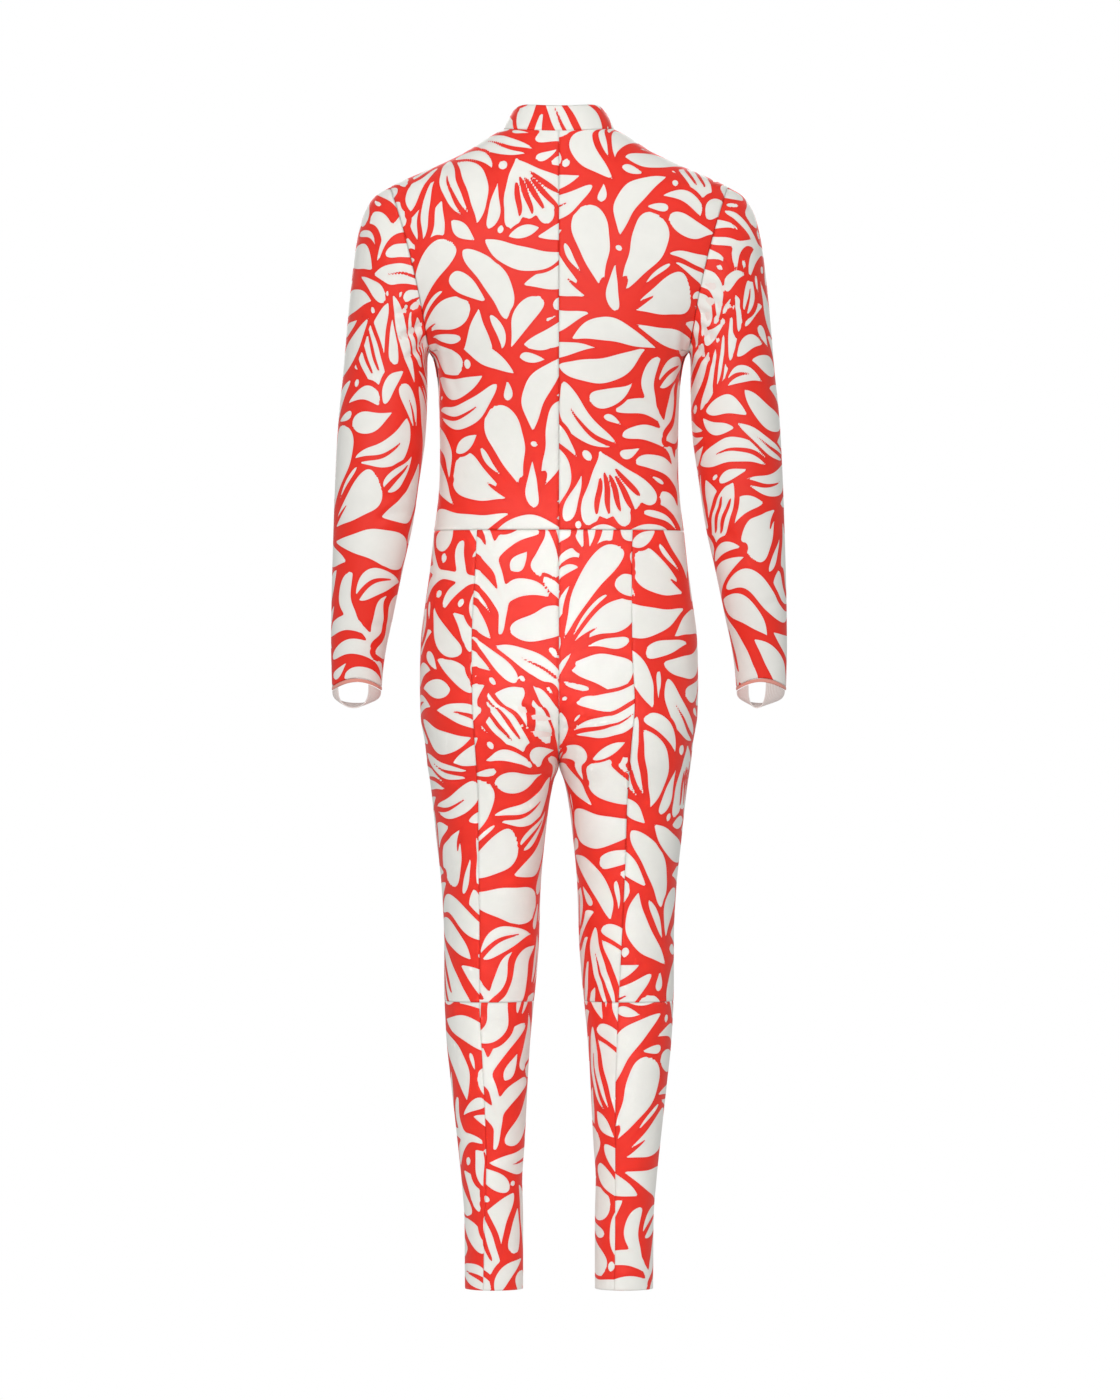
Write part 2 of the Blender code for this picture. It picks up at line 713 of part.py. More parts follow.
def slider_and_pull(chain_y, material):
    """The slider at the top of the closed zip, and the pull that hangs from it."""
    back = chain_y - CHAIN_RAISE - SEAM_GAP
    pin = Vector((0, back - BODY_DEPTH - BODY_FRONT, SLIDER_TOP - PIN_DROP))

    def slider_body(mesh):
        add_box(mesh, (-SLIDER_HALF, BODY_FRONT, PIN_DROP - SLIDER_HEIGHT),
                (SLIDER_HALF, BODY_FRONT + BODY_DEPTH, PIN_DROP))
        edges = [edge for edge in mesh.edges
                 if abs(edge.verts[0].co.y - edge.verts[1].co.y) > BODY_DEPTH / 2]
        bmesh.ops.bevel(mesh, geom=edges, offset=1.2 * MM, segments=3, profile=0.5,
                        affect="EDGES", clamp_overlap=True, material=-1)

    def lugs(mesh):
        for side in (-1, 1):
            low, high = sorted((side * LUG_IN, side * LUG_OUT))
            add_box(mesh, (low, -PIN_RADIUS * 1.6, -PIN_RADIUS * 1.6),
                    (high, BODY_FRONT + 0.6 * MM, PIN_RADIUS * 1.6))

    slider = mesh_object("zip_slider", slider_body, material)
    lug_tool = mesh_object("lug_tool", lugs, material)
    pin_tool = mesh_object("pin_tool", lambda mesh: add_tube(mesh, PIN_RADIUS, 2 * LUG_IN + 1 * MM),
                           material)
    combine(slider, lug_tool, "UNION")
    combine(slider, pin_tool, "UNION")

    def tab(mesh):
        add_box(mesh, (-PULL_HALF, -PULL_CLOTH / 2, -PULL_LENGTH),
                (PULL_HALF, PULL_CLOTH / 2, -3.4 * MM))
        corners = [edge for edge in mesh.edges
                   if abs(edge.verts[0].co.y - edge.verts[1].co.y) > PULL_CLOTH / 2]
        bmesh.ops.bevel(mesh, geom=corners, offset=1.4 * MM, segments=3, profile=0.5,
                        affect="EDGES", clamp_overlap=True, material=-1)

    def stem(mesh):
        half = PULL_CLOTH / 2 - 0.1 * MM
        add_box(mesh, (-EYE_WIDTH / 2 + 0.2 * MM, -half, -4.4 * MM),
                (EYE_WIDTH / 2 - 0.2 * MM, half, -1.2 * MM))

    pull = mesh_object("zip_pull", lambda mesh: add_tube(mesh, EYE_RADIUS, EYE_WIDTH), material)
    tab_tool = mesh_object("tab_tool", tab, material)
    stem_tool = mesh_object("stem_tool", stem, material)
    eye_tool = mesh_object("eye_tool", lambda mesh: add_tube(mesh, EYE_HOLE, EYE_WIDTH * 2),
                           material)
    combine(pull, stem_tool, "UNION")
    combine(pull, tab_tool, "UNION")
    combine(pull, eye_tool, "DIFFERENCE")
    for part in (slider, lug_tool, pin_tool, pull, stem_tool, tab_tool, eye_tool):
        part.location = pin
    return pin


for leftover in list(bpy.data.objects):
    bpy.data.objects.remove(leftover)

COLLECTION = bpy.data.collections.new("ski_race_suit")
CUTTERS = bpy.data.collections.new("cutters")
bpy.context.scene.collection.children.link(COLLECTION)
bpy.context.scene.collection.children.link(CUTTERS)

LEFT, RIGHT = 1, 2
back_left = bodice_rows(LEFT, 1)
back_right = mirrored(bodice_rows(RIGHT, 1))
front_left = bodice_rows(LEFT, 2)
front_right = mirrored(bodice_rows(RIGHT, 2))

neck_count = round(SEGMENTS_BACK * NECK_SHARE)
neck = front_right[0][:neck_count + 1]
neck += back_right[0][-neck_count - 1:][1:]
neck += back_left[0][1:neck_count + 1]
neck += front_left[0][-neck_count - 1:][1:]
collar = collar_rows(neck)

zip_rows = [[row[-1], row[0]] for row in collar]
zip_rows += [[left[-1], right[0]] for left, right in zip(front_left[1:], front_right[1:])]

legs = {}
for side, name in ((LEFT, "left"), (RIGHT, "right")):
    upper = [leg_row(z, side) for z in HIP_ROWS + THIGH_ROWS]
    lower = [leg_row(z, side) for z in CALF_ROWS]
    first, second = SEGMENTS_PRINCESS, SEGMENTS_BACK
    cuts = ((0, first), (first, second), (second, second + SEGMENTS_FRONT))
    names = (("seat", "side_leg", "front_leg"), ("calf", "lower_side", "shin"))
    for rows, labels in zip((upper, lower), names):
        for (start, stop), label in zip(cuts, labels):
            grid = [row[start:stop + 1] for row in rows]
            legs[f"{label}_{name}"] = mirrored(grid) if side == RIGHT else grid

sleeve = sleeve_rows()
sleeves = {"sleeve_left": sleeve, "sleeve_right": mirrored(sleeve)}
bindings = {"cuff_binding_left": binding_rows(sleeve[-1])}
bindings["cuff_binding_right"] = mirrored(bindings["cuff_binding_left"])

panels = {
    "collar": collar,
    "back_bodice_left": back_left,
    "back_bodice_right": back_right,
    "front_bodice_left": front_left,
    "front_bodice_right": front_right,
    **legs,
}
skin = [(rows, False) for rows in panels.values()]
skin += [(rows, True) for rows in (*sleeves.values(), *bindings.values())]
skin.append((zip_rows, False))
NORMALS = skin_normals(skin)

materials = {name: make_material(name, *look) for name, look in COLOURS.items()}
for name, rows in panels.items():
    wall_object(name, rows, NORMALS, materials["printed_knit"])
for name, rows in sleeves.items():
    wall_object(name, rows, NORMALS, materials["printed_knit"], closed=True)
for name, rows in bindings.items():
    wall_object(name, rows, NORMALS, materials["elastic"], closed=True,
                thickness=BINDING_CLOTH)
for side in LOOP_ENDS:
    hand_loop(side, sleeve[-1], materials["elastic"])
zip_object(zip_rows, NORMALS, materials["zip_tape"])
slider_and_pull(zip_rows[1][0].y, materials["metal"])
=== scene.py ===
"""Ski race suit, dressed: printed stretch knit, elastic cuffs and hand loops, coil zip.

The frame is in metres, +Z up. The suit faces -Y and is seen from behind, from +Y. The tables are
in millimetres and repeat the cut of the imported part, so every piece lies on its own solid.
"""
import math
import random

import bmesh
import bpy
import numpy as np
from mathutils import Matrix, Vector


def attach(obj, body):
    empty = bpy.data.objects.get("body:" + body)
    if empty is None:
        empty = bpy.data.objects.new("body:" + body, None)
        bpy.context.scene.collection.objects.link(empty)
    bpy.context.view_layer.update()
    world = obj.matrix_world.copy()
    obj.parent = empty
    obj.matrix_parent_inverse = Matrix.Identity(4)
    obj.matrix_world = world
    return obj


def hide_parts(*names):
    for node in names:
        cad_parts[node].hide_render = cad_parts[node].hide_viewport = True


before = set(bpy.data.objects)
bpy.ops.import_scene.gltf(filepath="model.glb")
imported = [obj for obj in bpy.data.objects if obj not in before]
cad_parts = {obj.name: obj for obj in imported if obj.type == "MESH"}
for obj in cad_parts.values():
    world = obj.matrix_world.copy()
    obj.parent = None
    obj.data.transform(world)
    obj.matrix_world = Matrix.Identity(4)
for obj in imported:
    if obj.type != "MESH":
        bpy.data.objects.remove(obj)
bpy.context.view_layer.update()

MM = 0.001
KNIT = 0.9              # thickness of the knit
KNIT_PITCH = 1.1        # real ribs are 0.5 mm apart, too fine to show; drawn at twice that
SEAM_GAP = 0.3          # clear space between two solids at a seam
CLOTH_GAP = 0.08        # what is left of it between the sewn edges of the cloth
SEAM_DIP = 0.3          # how far an edge rolls in where it is sewn
BINDING_CLOTH = 2.2
BINDING_HEIGHT = 4.6
LOOP_CLOTH = 1.4
STRETCH = 1.08          # worn, the knit lies this much larger than it was cut
COIL_PITCH = 1.5
CREASE_OVER = 12        # how far a crease may run on past the side of the body
COARSE = 4              # the reverse of the cloth has one face for this many across on the face
BAND_SPACING = 0.314    # metres between a wave texture's bands at scale 1

# The studio, in metres.
CAMERA_PLACE = (-0.0012, 9.0, -0.680)
WIDEST_PLANE = 0.010    # y of the suit's outline as the camera sees it
VIEW_HEIGHT = 1.68      # what the frame takes in there, from top to bottom
SENSOR_HEIGHT = 36      # millimetres
FLOOR_RADIUS = 0.8
FLOOR_LEVEL = -1.60
AIR_STRENGTH = 0.49

ARMPIT = (156, -262)
SHOULDER = (203, -64)
ARMHOLE_DEPTH = 68
ARMHOLE_BOW = 5
WAIST = -477
CROTCH = -757
CROTCH_RISE = 105
KNEE = -1041
HEM = -1386
NECK_HALF = 66
NECK_SIDE = 5
NECK_FRONT = -48
NECK_SHARE = 5 / 12
ZIP_HALF = 3.5

# Faces across and down each piece, each a multiple of COARSE.
BODICE_ACROSS = 96
PRINCESS_ACROSS = 48
YOKE_DOWN = 120
SIDE_DOWN = 96
LEG_DOWN = 236
CALF_DOWN = 144
SLEEVE_AROUND = 168
SLEEVE_DOWN = 260
COLLAR_DOWN = 16

RIDGE = (
    # z, half_width
    (-64, 203),
    (-56, 187),
    (-44, 159),
    (-32, 132),
    (-20, 109),
    (-8, 90),
    (0, 77),
    (5, 66.5),
)
TORSO = (
    # z, back, front, power
    (5, 52, -40, 2.1),
    (0, 55, -42, 2.1),
    (-30, 68, -50, 2.1),
    (-48, 75, -58, 2.1),
    (-90, 90, -75, 2.2),
    (-130, 99, -94, 2.3),
    (-180, 105, -114, 2.3),
    (-240, 105, -125, 2.3),
    (-290, 100, -119, 2.3),
    (-340, 92, -106, 2.3),
    (-400, 82, -95, 2.3),
    (-440, 77, -92, 2.3),
    (WAIST, 76, -92, 2.3),
)
TORSO_SIDE = (
    # z, half_width
    (-262, 156),
    (-270, 151.5),
    (-285, 148),
    (-310, 145),
    (-345, 143.5),
    (-380, 143),
    (-415, 143.5),
    (-447, 146),
    (WAIST, 150),
)
LEG = (
    # z, inner x, outer x, back y, front y, y of the side, power
    (WAIST, 0, 150, 76, -92, 0, 2.3),
    (-520, 0, 154.5, 84, -97, 0, 2.3),
    (-560, 0, 160, 95, -100, 1, 2.35),
    (-610, 0, 166, 108, -101, 3, 2.4),
    (-660, 0, 167, 116, -99, 6, 2.45),
    (-700, 0, 166, 117, -96, 8, 2.5),
    (-730, 0, 161, 113, -94, 8, 2.5),
    (CROTCH, 0, 158, 106, -92, 8, 2.5),
    (-776, 6, 155, 98, -90, 6, 2.4),
    (-800, 11, 152, 90, -88, 4, 2.3),
    (-848, 17, 147, 82, -85, 2, 2.2),
    (-905, 22, 141, 75, -79, 0, 2.1),
    (-968, 24, 138, 68, -70, 0, 2.05),
    (-1016, 27.5, 138, 64, -63, 1, 2.0),
    (KNEE, 30, 137.5, 62, -60, 3, 2.0),
    (-1088, 34.5, 135, 63, -54, 6, 2.0),
    (-1136, 37.5, 130, 64, -48, 9, 2.0),
    (-1208, 41, 122, 59, -42, 9, 2.0),
    (-1256, 44, 117, 53, -38, 8, 2.0),
    (-1304, 43, 113.5, 49, -35, 7, 2.0),
    (HEM, 43, 113, 48, -34, 7, 2.0),
)
BACK_LEG_SEAM = (
    # z, x on the left leg, x on the right leg
    (WAIST, 98, 88),
    (-521, 100, 87),
    (-612, 104, 87),
    (-685, 103, 90),
    (-734, 100, 86),
    (-808, 96, 81),
    (-875, 96, 79),
    (-943, 95, 76),
    (KNEE, 95, 71),
    (-1085, 93, 69),
    (-1160, 89, 67),
    (-1232, 87, 67),
    (-1301, 89, 67),
    (HEM, 91, 66),
)
SLEEVE = (
    # inner x, inner z, outer x, outer z, y, depth, bow, arch
    (*ARMPIT, *SHOULDER, 0, ARMHOLE_DEPTH, ARMHOLE_BOW, 0),
    (157.5, -266, 221, -75, 0, 67, 3, 0),
    (158, -274, 235, -98, 0, 65.5, 1, 0),
    (158, -286, 243, -130, 0, 63, 0, 0),
    (158, -305, 249, -175, 0, 60, 0, 0),
    (158.5, -330, 254, -225, 0, 57, 0, 0),
    (160.5, -365, 259, -285, 1, 55, 0, 0),
    (166, -405, 265, -345, 3, 53, 0, 0),
    (171.5, -440, 268, -400, 5, 51, 0, 0),
    (177, -475, 270, -450, 6, 48, 0, 0),
    (189, -530, 272, -515, 5, 44, 0, 0),
    (199.5, -580, 273.5, -573, 1, 39, 0, 0),
    (208, -620, 274, -617, -4, 35, 0, 2),
    (211.5, -645, 273.5, -643, -6, 32, 0, 6),
    (213, -664, 273, -664, -8, 30, 0, 10),
)
COLLAR = (
    # share of the height, how far the ring has closed in to its top size
    (0.0, 0.0),
    (0.3, 0.22),
    (0.6, 0.52),
    (0.85, 0.82),
    (1.0, 1.0),
)
COLLAR_TOP_HALF = 56
COLLAR_TOP_BACK = 40
COLLAR_TOP_FRONT = -58
COLLAR_HEIGHTS = (31.5, 22, 41)
COLLAR_TURN_BACK = 8
COLLAR_TURN_FRONT = 2
LOOP_ENDS = {
    # side: (near, far) underarm, (near, far) outer
    "left": ((60, 8), (140, 185)),
    "right": ((57, 5), (100, 165)),
}
LOOP_DROP_NEAR = (8, -20.5)
LOOP_DROP_FAR = (-6, -15.0)
LOOP_ROUND = 0.68

# Creases of the knit by place: words in the names of its pieces, the sign of y on its side of the
# suit, and its soft troughs, each along a bowed line as it shows from that side.
CREASES = {
    "right armhole": (("sleeve_right",), 1, (
        # start, end, width, depth, bow
        ((-168, -182), (-214, -190), 3.8, 1.6, 2),
        ((-170, -200), (-222, -212), 3.6, 1.9, 3),
        ((-166, -215), (-206, -232), 4.0, 2.2, 2),
        ((-166, -231), (-201, -256), 3.6, 1.8, 3),
        ((-160, -247), (-188, -282), 4.0, 1.6, 3),
    )),
    "left armhole": (("sleeve_left",), 1, (
        ((166, -206), (200, -220), 3.8, 2.1, -2),
        ((163, -228), (196, -250), 4.0, 2.6, -3),
        ((160, -246), (186, -276), 4.0, 2.0, -3),
    )),
    "back": (("back_bodice",), 1, (
        ((152, -238), (133, -330), 5.5, 2.8, 4),
        ((-152, -232), (-136, -318), 5.5, 3.0, -4),
        ((138, -262), (118, -318), 6.0, 0.9, 3),
        ((-139, -258), (-122, -306), 5.5, 0.8, -3),
        ((120, -452), (146, -436), 5.0, 0.7, 0),
        ((-116, -458), (-146, -444), 5.0, 0.6, 0),
    )),
    "seat": (("seat", "side_leg"), 1, (
        ((3, -706), (58, -682), 5.0, 2.8, -4),
        ((4, -724), (49, -708), 4.6, 2.4, -3),
        ((-3, -716), (-44, -700), 5.0, 1.9, 3),
        ((12, -778), (66, -770), 7.0, 1.0, 4),
        ((-14, -786), (-60, -776), 7.0, 0.8, -4),
        ((96, -1018), (44, -1026), 7.0, 0.9, 3),
        ((-72, -1012), (-40, -1024), 6.0, 0.8, 3),
    )),
    "calf": (("calf", "lower_side"), 1, (
        ((100, -1058), (46, -1068), 7.0, 0.8, -3),
        ((-110, -1056), (-52, -1066), 7.0, 0.7, 3),
        ((60, -1362), (100, -1356), 5.0, 0.6, 1),
        ((-62, -1350), (-96, -1358), 5.0, 0.7, 1),
    )),
    "sleeve back": (("sleeve",), 1, (
        ((183, -455), (222, -470), 6.0, 1.3, 3),
        ((181, -438), (212, -436), 5.5, 1.0, 2),
        ((-183, -448), (-226, -460), 6.0, 1.2, -3),
        ((-186, -474), (-214, -492), 5.5, 1.0, -2),
        ((206, -590), (236, -598), 5.0, 0.7, 2),
        ((-270, -560), (-238, -572), 5.0, 0.6, 2),
    )),
    "front armhole left": (("front_bodice_left",), -1, (
        ((158, -236), (112, -196), 7.0, 1.6, 5),
        ((156, -250), (98, -226), 6.5, 1.2, 5),
    )),
    "front armhole right": (("front_bodice_right",), -1, (
        ((-158, -232), (-116, -188), 7.0, 1.7, -5),
        ((-156, -248), (-104, -220), 6.0, 1.1, -4),
    )),
    "sleeve front": (("sleeve",), -1, (
        ((184, -440), (246, -424), 6.5, 2.0, -5),
        ((186, -458), (252, -456), 6.0, 1.6, -3),
        ((190, -478), (240, -490), 6.0, 1.2, 3),
        ((-184, -434), (-242, -420), 6.5, 1.8, 5),
        ((-186, -454), (-254, -450), 6.0, 1.7, 3),
        ((-190, -474), (-236, -488), 6.0, 1.1, -3),
    )),
    "front leg": (("front_leg", "shin"), -1, (
        ((10, -716), (96, -640), 8.0, 1.8, 6),
        ((8, -738), (78, -690), 7.0, 1.4, 5),
        ((-10, -712), (-92, -634), 8.0, 1.7, -6),
        ((-8, -736), (-82, -684), 7.0, 1.3, -5),
        ((48, -1020), (118, -1012), 8.0, 0.8, 3),
        ((-52, -1016), (-116, -1024), 8.0, 0.7, 3),
    )),
    "front": (("front_bodice",), -1, (
        ((20, -455), (96, -466), 8.0, 0.8, 3),
        ((-24, -448), (-108, -462), 8.0, 0.7, -3),
    )),
}


# ---------------------------------------------------------------- the cut of the suit

def column(rows, index):
    """One column of a table as a smooth function of the first one, with no overshoot."""
    rows = sorted(rows)
    at = np.array([row[0] for row in rows], float)
    value = np.array([row[index] for row in rows], float)
    step = np.diff(value) / np.diff(at)
    product = step[:-1] * step[1:]
    total = np.where(product > 0, step[:-1] + step[1:], 1.0)
    slope = np.concatenate([step[:1], np.where(product > 0, 2 * product / total, 0.0), step[-1:]])

    def curve(place):
        place = np.clip(place, at[0], at[-1])
        k = np.clip(np.searchsorted(at, place) - 1, 0, len(at) - 2)
        span = at[k + 1] - at[k]
        t = (place - at[k]) / span
        return (value[k] * (1 + 2 * t) * (1 - t) ** 2 + value[k + 1] * t * t * (3 - 2 * t)
                + slope[k] * span * t * (1 - t) ** 2 - slope[k + 1] * span * t * t * (1 - t))

    return curve


ridge_half = column(RIDGE, 1)
ridge_height = column([(half, z) for z, half in RIDGE], 1)
torso_reach = {1: column(TORSO, 1), 2: column(TORSO, 2)}
torso_power = column(TORSO, 3)
side_half = column(TORSO_SIDE, 1)


def signed_power(value, power):
    return np.sign(value) * np.abs(value) ** power


def armhole(share):
    """Back half of the left armhole; share is 0 at the armpit and 1 at the shoulder point."""
    height = (1 - np.cos(np.pi * share)) / 2
    depth = np.sin(np.pi * share)
    x = ARMPIT[0] + (SHOULDER[0] - ARMPIT[0]) * height - ARMHOLE_BOW * depth ** 2
    z = ARMPIT[1] + (SHOULDER[1] - ARMPIT[1]) * height
    return x, ARMHOLE_DEPTH * depth, z


def torso_half(z, depth):
    """Half-width of the torso section at z that passes through the armhole or the ridge."""
    share = np.arccos(np.clip(1 - 2 * (z - ARMPIT[1]) / (SHOULDER[1] - ARMPIT[1]), -1, 1)) / np.pi
    x, y, _ = armhole(share)
    power = torso_power(z)
    ratio = np.clip(y / np.abs(depth), 0, 0.999)
    return np.where(z >= SHOULDER[1], ridge_half(z), x / (1 - ratio ** power) ** (1 / power))


def torso_y(x, z, face):
    depth = torso_reach[face](z)
    power = torso_power(z)
    ratio = np.minimum(np.abs(x) / torso_half(z, depth), 1.0)
    return depth * (1 - ratio ** power) ** (1 / power)


def spread(first, last, count):
    """count + 1 values from first to last; both may be arrays with one value a row."""
    steps = np.linspace(0, 1, count + 1)
    return first + (last - first) * steps


def back_angles(side):
    seam = math.asin((BACK_LEG_SEAM[0][side] / LEG[0][2]) ** (LEG[0][6] / 2))
    inner = spread(0.0, seam, PRINCESS_ACROSS)
    return np.concatenate([inner[:-1], spread(seam, math.pi / 2, BODICE_ACROSS - PRINCESS_ACROSS)])


def front_neck_height(x, y):
    low = np.full(x.shape, float(NECK_FRONT))
    high = np.full(x.shape, float(NECK_SIDE))
    for _ in range(40):
        middle = (low + high) / 2
        above = torso_y(x, middle, 2) > y
        high = np.where(above, middle, high)
        low = np.where(above, low, middle)
    return (low + high) / 2


def bodice(side, face):
    """Points of the left half of the bodice, back (face 1) or front (face 2), neck first."""
    angles = back_angles(side) if face == 1 else spread(0.0, math.pi / 2, BODICE_ACROSS)
    across = np.linspace(0, 1, BODICE_ACROSS + 1)
    on_neck = across <= NECK_SHARE + 1e-9
    turn = np.minimum(across / NECK_SHARE, 1.0) * math.pi / 2
    along = np.clip((across - NECK_SHARE) / (1 - NECK_SHARE), 0, 1)
    top_x = np.where(on_neck, NECK_HALF * np.sin(turn), NECK_HALF + (SHOULDER[0] - NECK_HALF) * along)
    neck_z = NECK_SIDE * np.sin(turn) ** 2
    if face == 2:
        top_x = top_x + ZIP_HALF * np.maximum(1 - top_x / NECK_HALF, 0.0)
        round_y = torso_reach[2](NECK_FRONT) * np.cos(turn)
        neck_z = np.where(turn < math.pi / 2, front_neck_height(top_x, round_y), NECK_SIDE)
    top_z = np.where(on_neck, neck_z, ridge_height(top_x))
    steps = np.linspace(1, 0, YOKE_DOWN + 1)
    share = (steps + 0.05 * np.sin(2 * np.pi * steps))[:, None]
    arm_x, arm_y, arm_z = armhole(share)
    height = (1 - np.cos(np.pi * share)) / 2
    depth = torso_reach[face](arm_z)
    power = torso_power(arm_z)
    last = np.arcsin(np.clip((arm_x / torso_half(arm_z, depth)) ** (power / 2), 0, 1))
    turned = np.sin(angles / (math.pi / 2) * last) ** (2 / power)
    body_x = arm_x * turned / np.sin(last) ** (2 / power)
    if face == 2:
        body_x = ZIP_HALF * (1 - body_x / arm_x) + body_x
    blend = height ** 2
    x = body_x * (1 - blend) + top_x * arm_x / SHOULDER[0] * blend
    z = ARMPIT[1] + (top_z - ARMPIT[1]) * height
    y = torso_y(x, z, face)
    y[0, across >= NECK_SHARE] = 0.0
    x[:, -1] = arm_x[:, 0]
    y[:, -1] = np.copysign(arm_y[:, 0], depth[:, 0])
    yoke = np.stack([x, y, z], axis=-1)

    z = np.linspace(ARMPIT[1], WAIST, SIDE_DOWN + 1)[1:, None]
    power = torso_power(z)
    x = side_half(z) * np.sin(angles) ** (2 / power)
    if face == 2:
        x = ZIP_HALF * (1 - x / side_half(z)) + x
    y = torso_reach[face](z) * np.maximum(np.cos(angles), 0.0) ** (2 / power)
    lower = np.stack([x, y, z + 0 * x], axis=-1)
    points = np.concatenate([yoke, lower])
    return points if face == 1 else points[:, ::-1]


def leg(heights, side):
    """Sections of the left leg, from centre back or the inseam round to the front."""
    z = heights[:, None]
    inner, outer, back, front, middle, power = (column(LEG, k)(z) for k in range(1, 7))
    above = z > CROTCH
    ratio = np.where(above, 1 - np.clip((z - CROTCH) / CROTCH_RISE, 0, 1) ** 1.4, 1.0)
    half = np.where(above, outer / (1 + ratio), (outer - inner) / 2)
    centre = np.where(above, half * ratio, (outer + inner) / 2)
    start = np.arccos(np.minimum(ratio ** (power / 2), 1.0))
    seam_x = column(BACK_LEG_SEAM, side)(z)
    seam = np.arccos(signed_power((centre - seam_x) / half, power / 2))
    angles = np.concatenate([
        spread(start, seam, PRINCESS_ACROSS)[:, :-1],
        spread(seam, math.pi, BODICE_ACROSS - PRINCESS_ACROSS)[:, :-1],
        spread(math.pi, 2 * math.pi - start, BODICE_ACROSS),
    ], axis=1)
    x = centre - half * signed_power(np.cos(angles), 2 / power)
    reach = np.where(np.sin(angles) > 0, back, front) - middle
    y = middle + reach * np.abs(np.sin(angles)) ** (2 / power)
    x[:, 0] = np.where(heights >= CROTCH, 0.0, x[:, 0])
    x[:, -1] = np.where(heights >= CROTCH, 0.0, x[:, 0])
    y[:, -1] = np.where(heights > CROTCH, y[:, -1], y[:, 0])
    return np.stack([x, y, z + 0 * x], axis=-1)


def sleeve():
    """Rings of the left sleeve, each starting at the underarm seam and going round the back."""
    middles = [Vector(((row[0] + row[2]) / 2, (row[1] + row[3]) / 2)) for row in SLEEVE]
    along = [0.0]
    for first, second in zip(middles, middles[1:]):
        along.append(along[-1] + (second - first).length)
    rows = [(place, *row) for place, row in zip(along, SLEEVE)]
    place = np.linspace(0, along[-1], SLEEVE_DOWN + 1)[:, None]
    in_x, in_z, out_x, out_z, y, depth, bow, arch = (column(rows, k)(place) for k in range(1, 9))
    angle = np.linspace(0, 2 * math.pi, SLEEVE_AROUND + 1)
    share = (1 - np.cos(angle)) / 2
    rise = np.sin(angle) ** 2
    return np.stack([in_x + (out_x - in_x) * share - bow * rise, y + depth * np.sin(angle),
                     in_z + (out_z - in_z) * share + arch * rise], axis=-1)


def collar(neck):
    """The collar from its top edge down to the neck seam, on the neck's own points."""
    turn = np.linspace(0, 2 * math.pi, len(neck))
    middle = (COLLAR_TOP_BACK + COLLAR_TOP_FRONT) / 2
    reach = (COLLAR_TOP_BACK - COLLAR_TOP_FRONT) / 2
    back, side, front = COLLAR_HEIGHTS
    swing = np.sin(turn)
    at_front = np.cos(turn) > 0
    top_x = -COLLAR_TOP_HALF * swing
    slit = np.where(turn < math.pi, -ZIP_HALF, ZIP_HALF) * (1 - np.abs(swing))
    top_x = np.where(at_front, top_x + slit, top_x)
    top_y = middle - reach * np.cos(turn)
    level = 1 - np.abs(swing) ** np.where(at_front, COLLAR_TURN_FRONT, COLLAR_TURN_BACK)
    height = side + (np.where(at_front, front, back) - side) * level
    share = np.linspace(1, 0, COLLAR_DOWN + 1)[:, None]
    closed = column(COLLAR, 1)(share)
    return np.stack([neck[:, 0] + (top_x - neck[:, 0]) * closed,
                     neck[:, 1] + (top_y - neck[:, 1]) * closed,
                     neck[:, 2] + height * share], axis=-1)


def mirrored(points):
    """The same piece on the other side of the body, with its outside still out."""
    return points[:, ::-1] * np.array([-1.0, 1.0, 1.0])


# ---------------------------------------------------------------- the print

# The print repeats on a piece of this size. Its motifs are ordinary leaves, blooms and fronds in
# a layout of their own, cut out in off-white on red.
REPEAT = (520.0, 600.0)
BARE = 40.0             # stands for a place with no motif near it
GAP = 6.8               # red outline round a motif
INK_SPREAD = 0.8        # how far the red ink creeps over a motif's edge
RNG = random.Random(17)


def bar(x, y, angle, length, half, start=0.6, end=0.6, bend=0.0, wave=0.0):
    """A tapering shape, `half` from edge to spine at its widest; the spine bows and waves aside."""
    return (x, y, math.radians(angle), length, half, start, end, bend, wave)


def turned(x, y, angle, along, aside):
    """A place given along and aside from (x, y) in a direction."""
    c, s = math.cos(math.radians(angle)), math.sin(math.radians(angle))
    return x + along * c - aside * s, y + along * s + aside * c


def bar_distance(u, v, shape):
    x, y, angle, length, half, start, end, bend, wave = shape
    c, s = math.cos(angle), math.sin(angle)
    along = (u - x) * c + (v - y) * s
    aside = (v - y) * c - (u - x) * s
    t = np.clip(along / length, 0, 1)
    peak = start / (start + end)
    top = peak ** start * (1 - peak) ** end
    width = half * t ** start * (1 - t) ** end / top
    spine = 4 * bend * t * (1 - t) + wave * np.sin(2 * np.pi * t)
    slope = (4 * bend * (1 - 2 * t) + 2 * np.pi * wave * np.cos(2 * np.pi * t)) / length
    return np.hypot(along - length * t, (aside - spine) / np.sqrt(1 + slope ** 2)) - width


def motif(on, off=(), gap=GAP, soft=0.0):
    return {"on": on, "off": off, "gap": gap, "soft": soft}


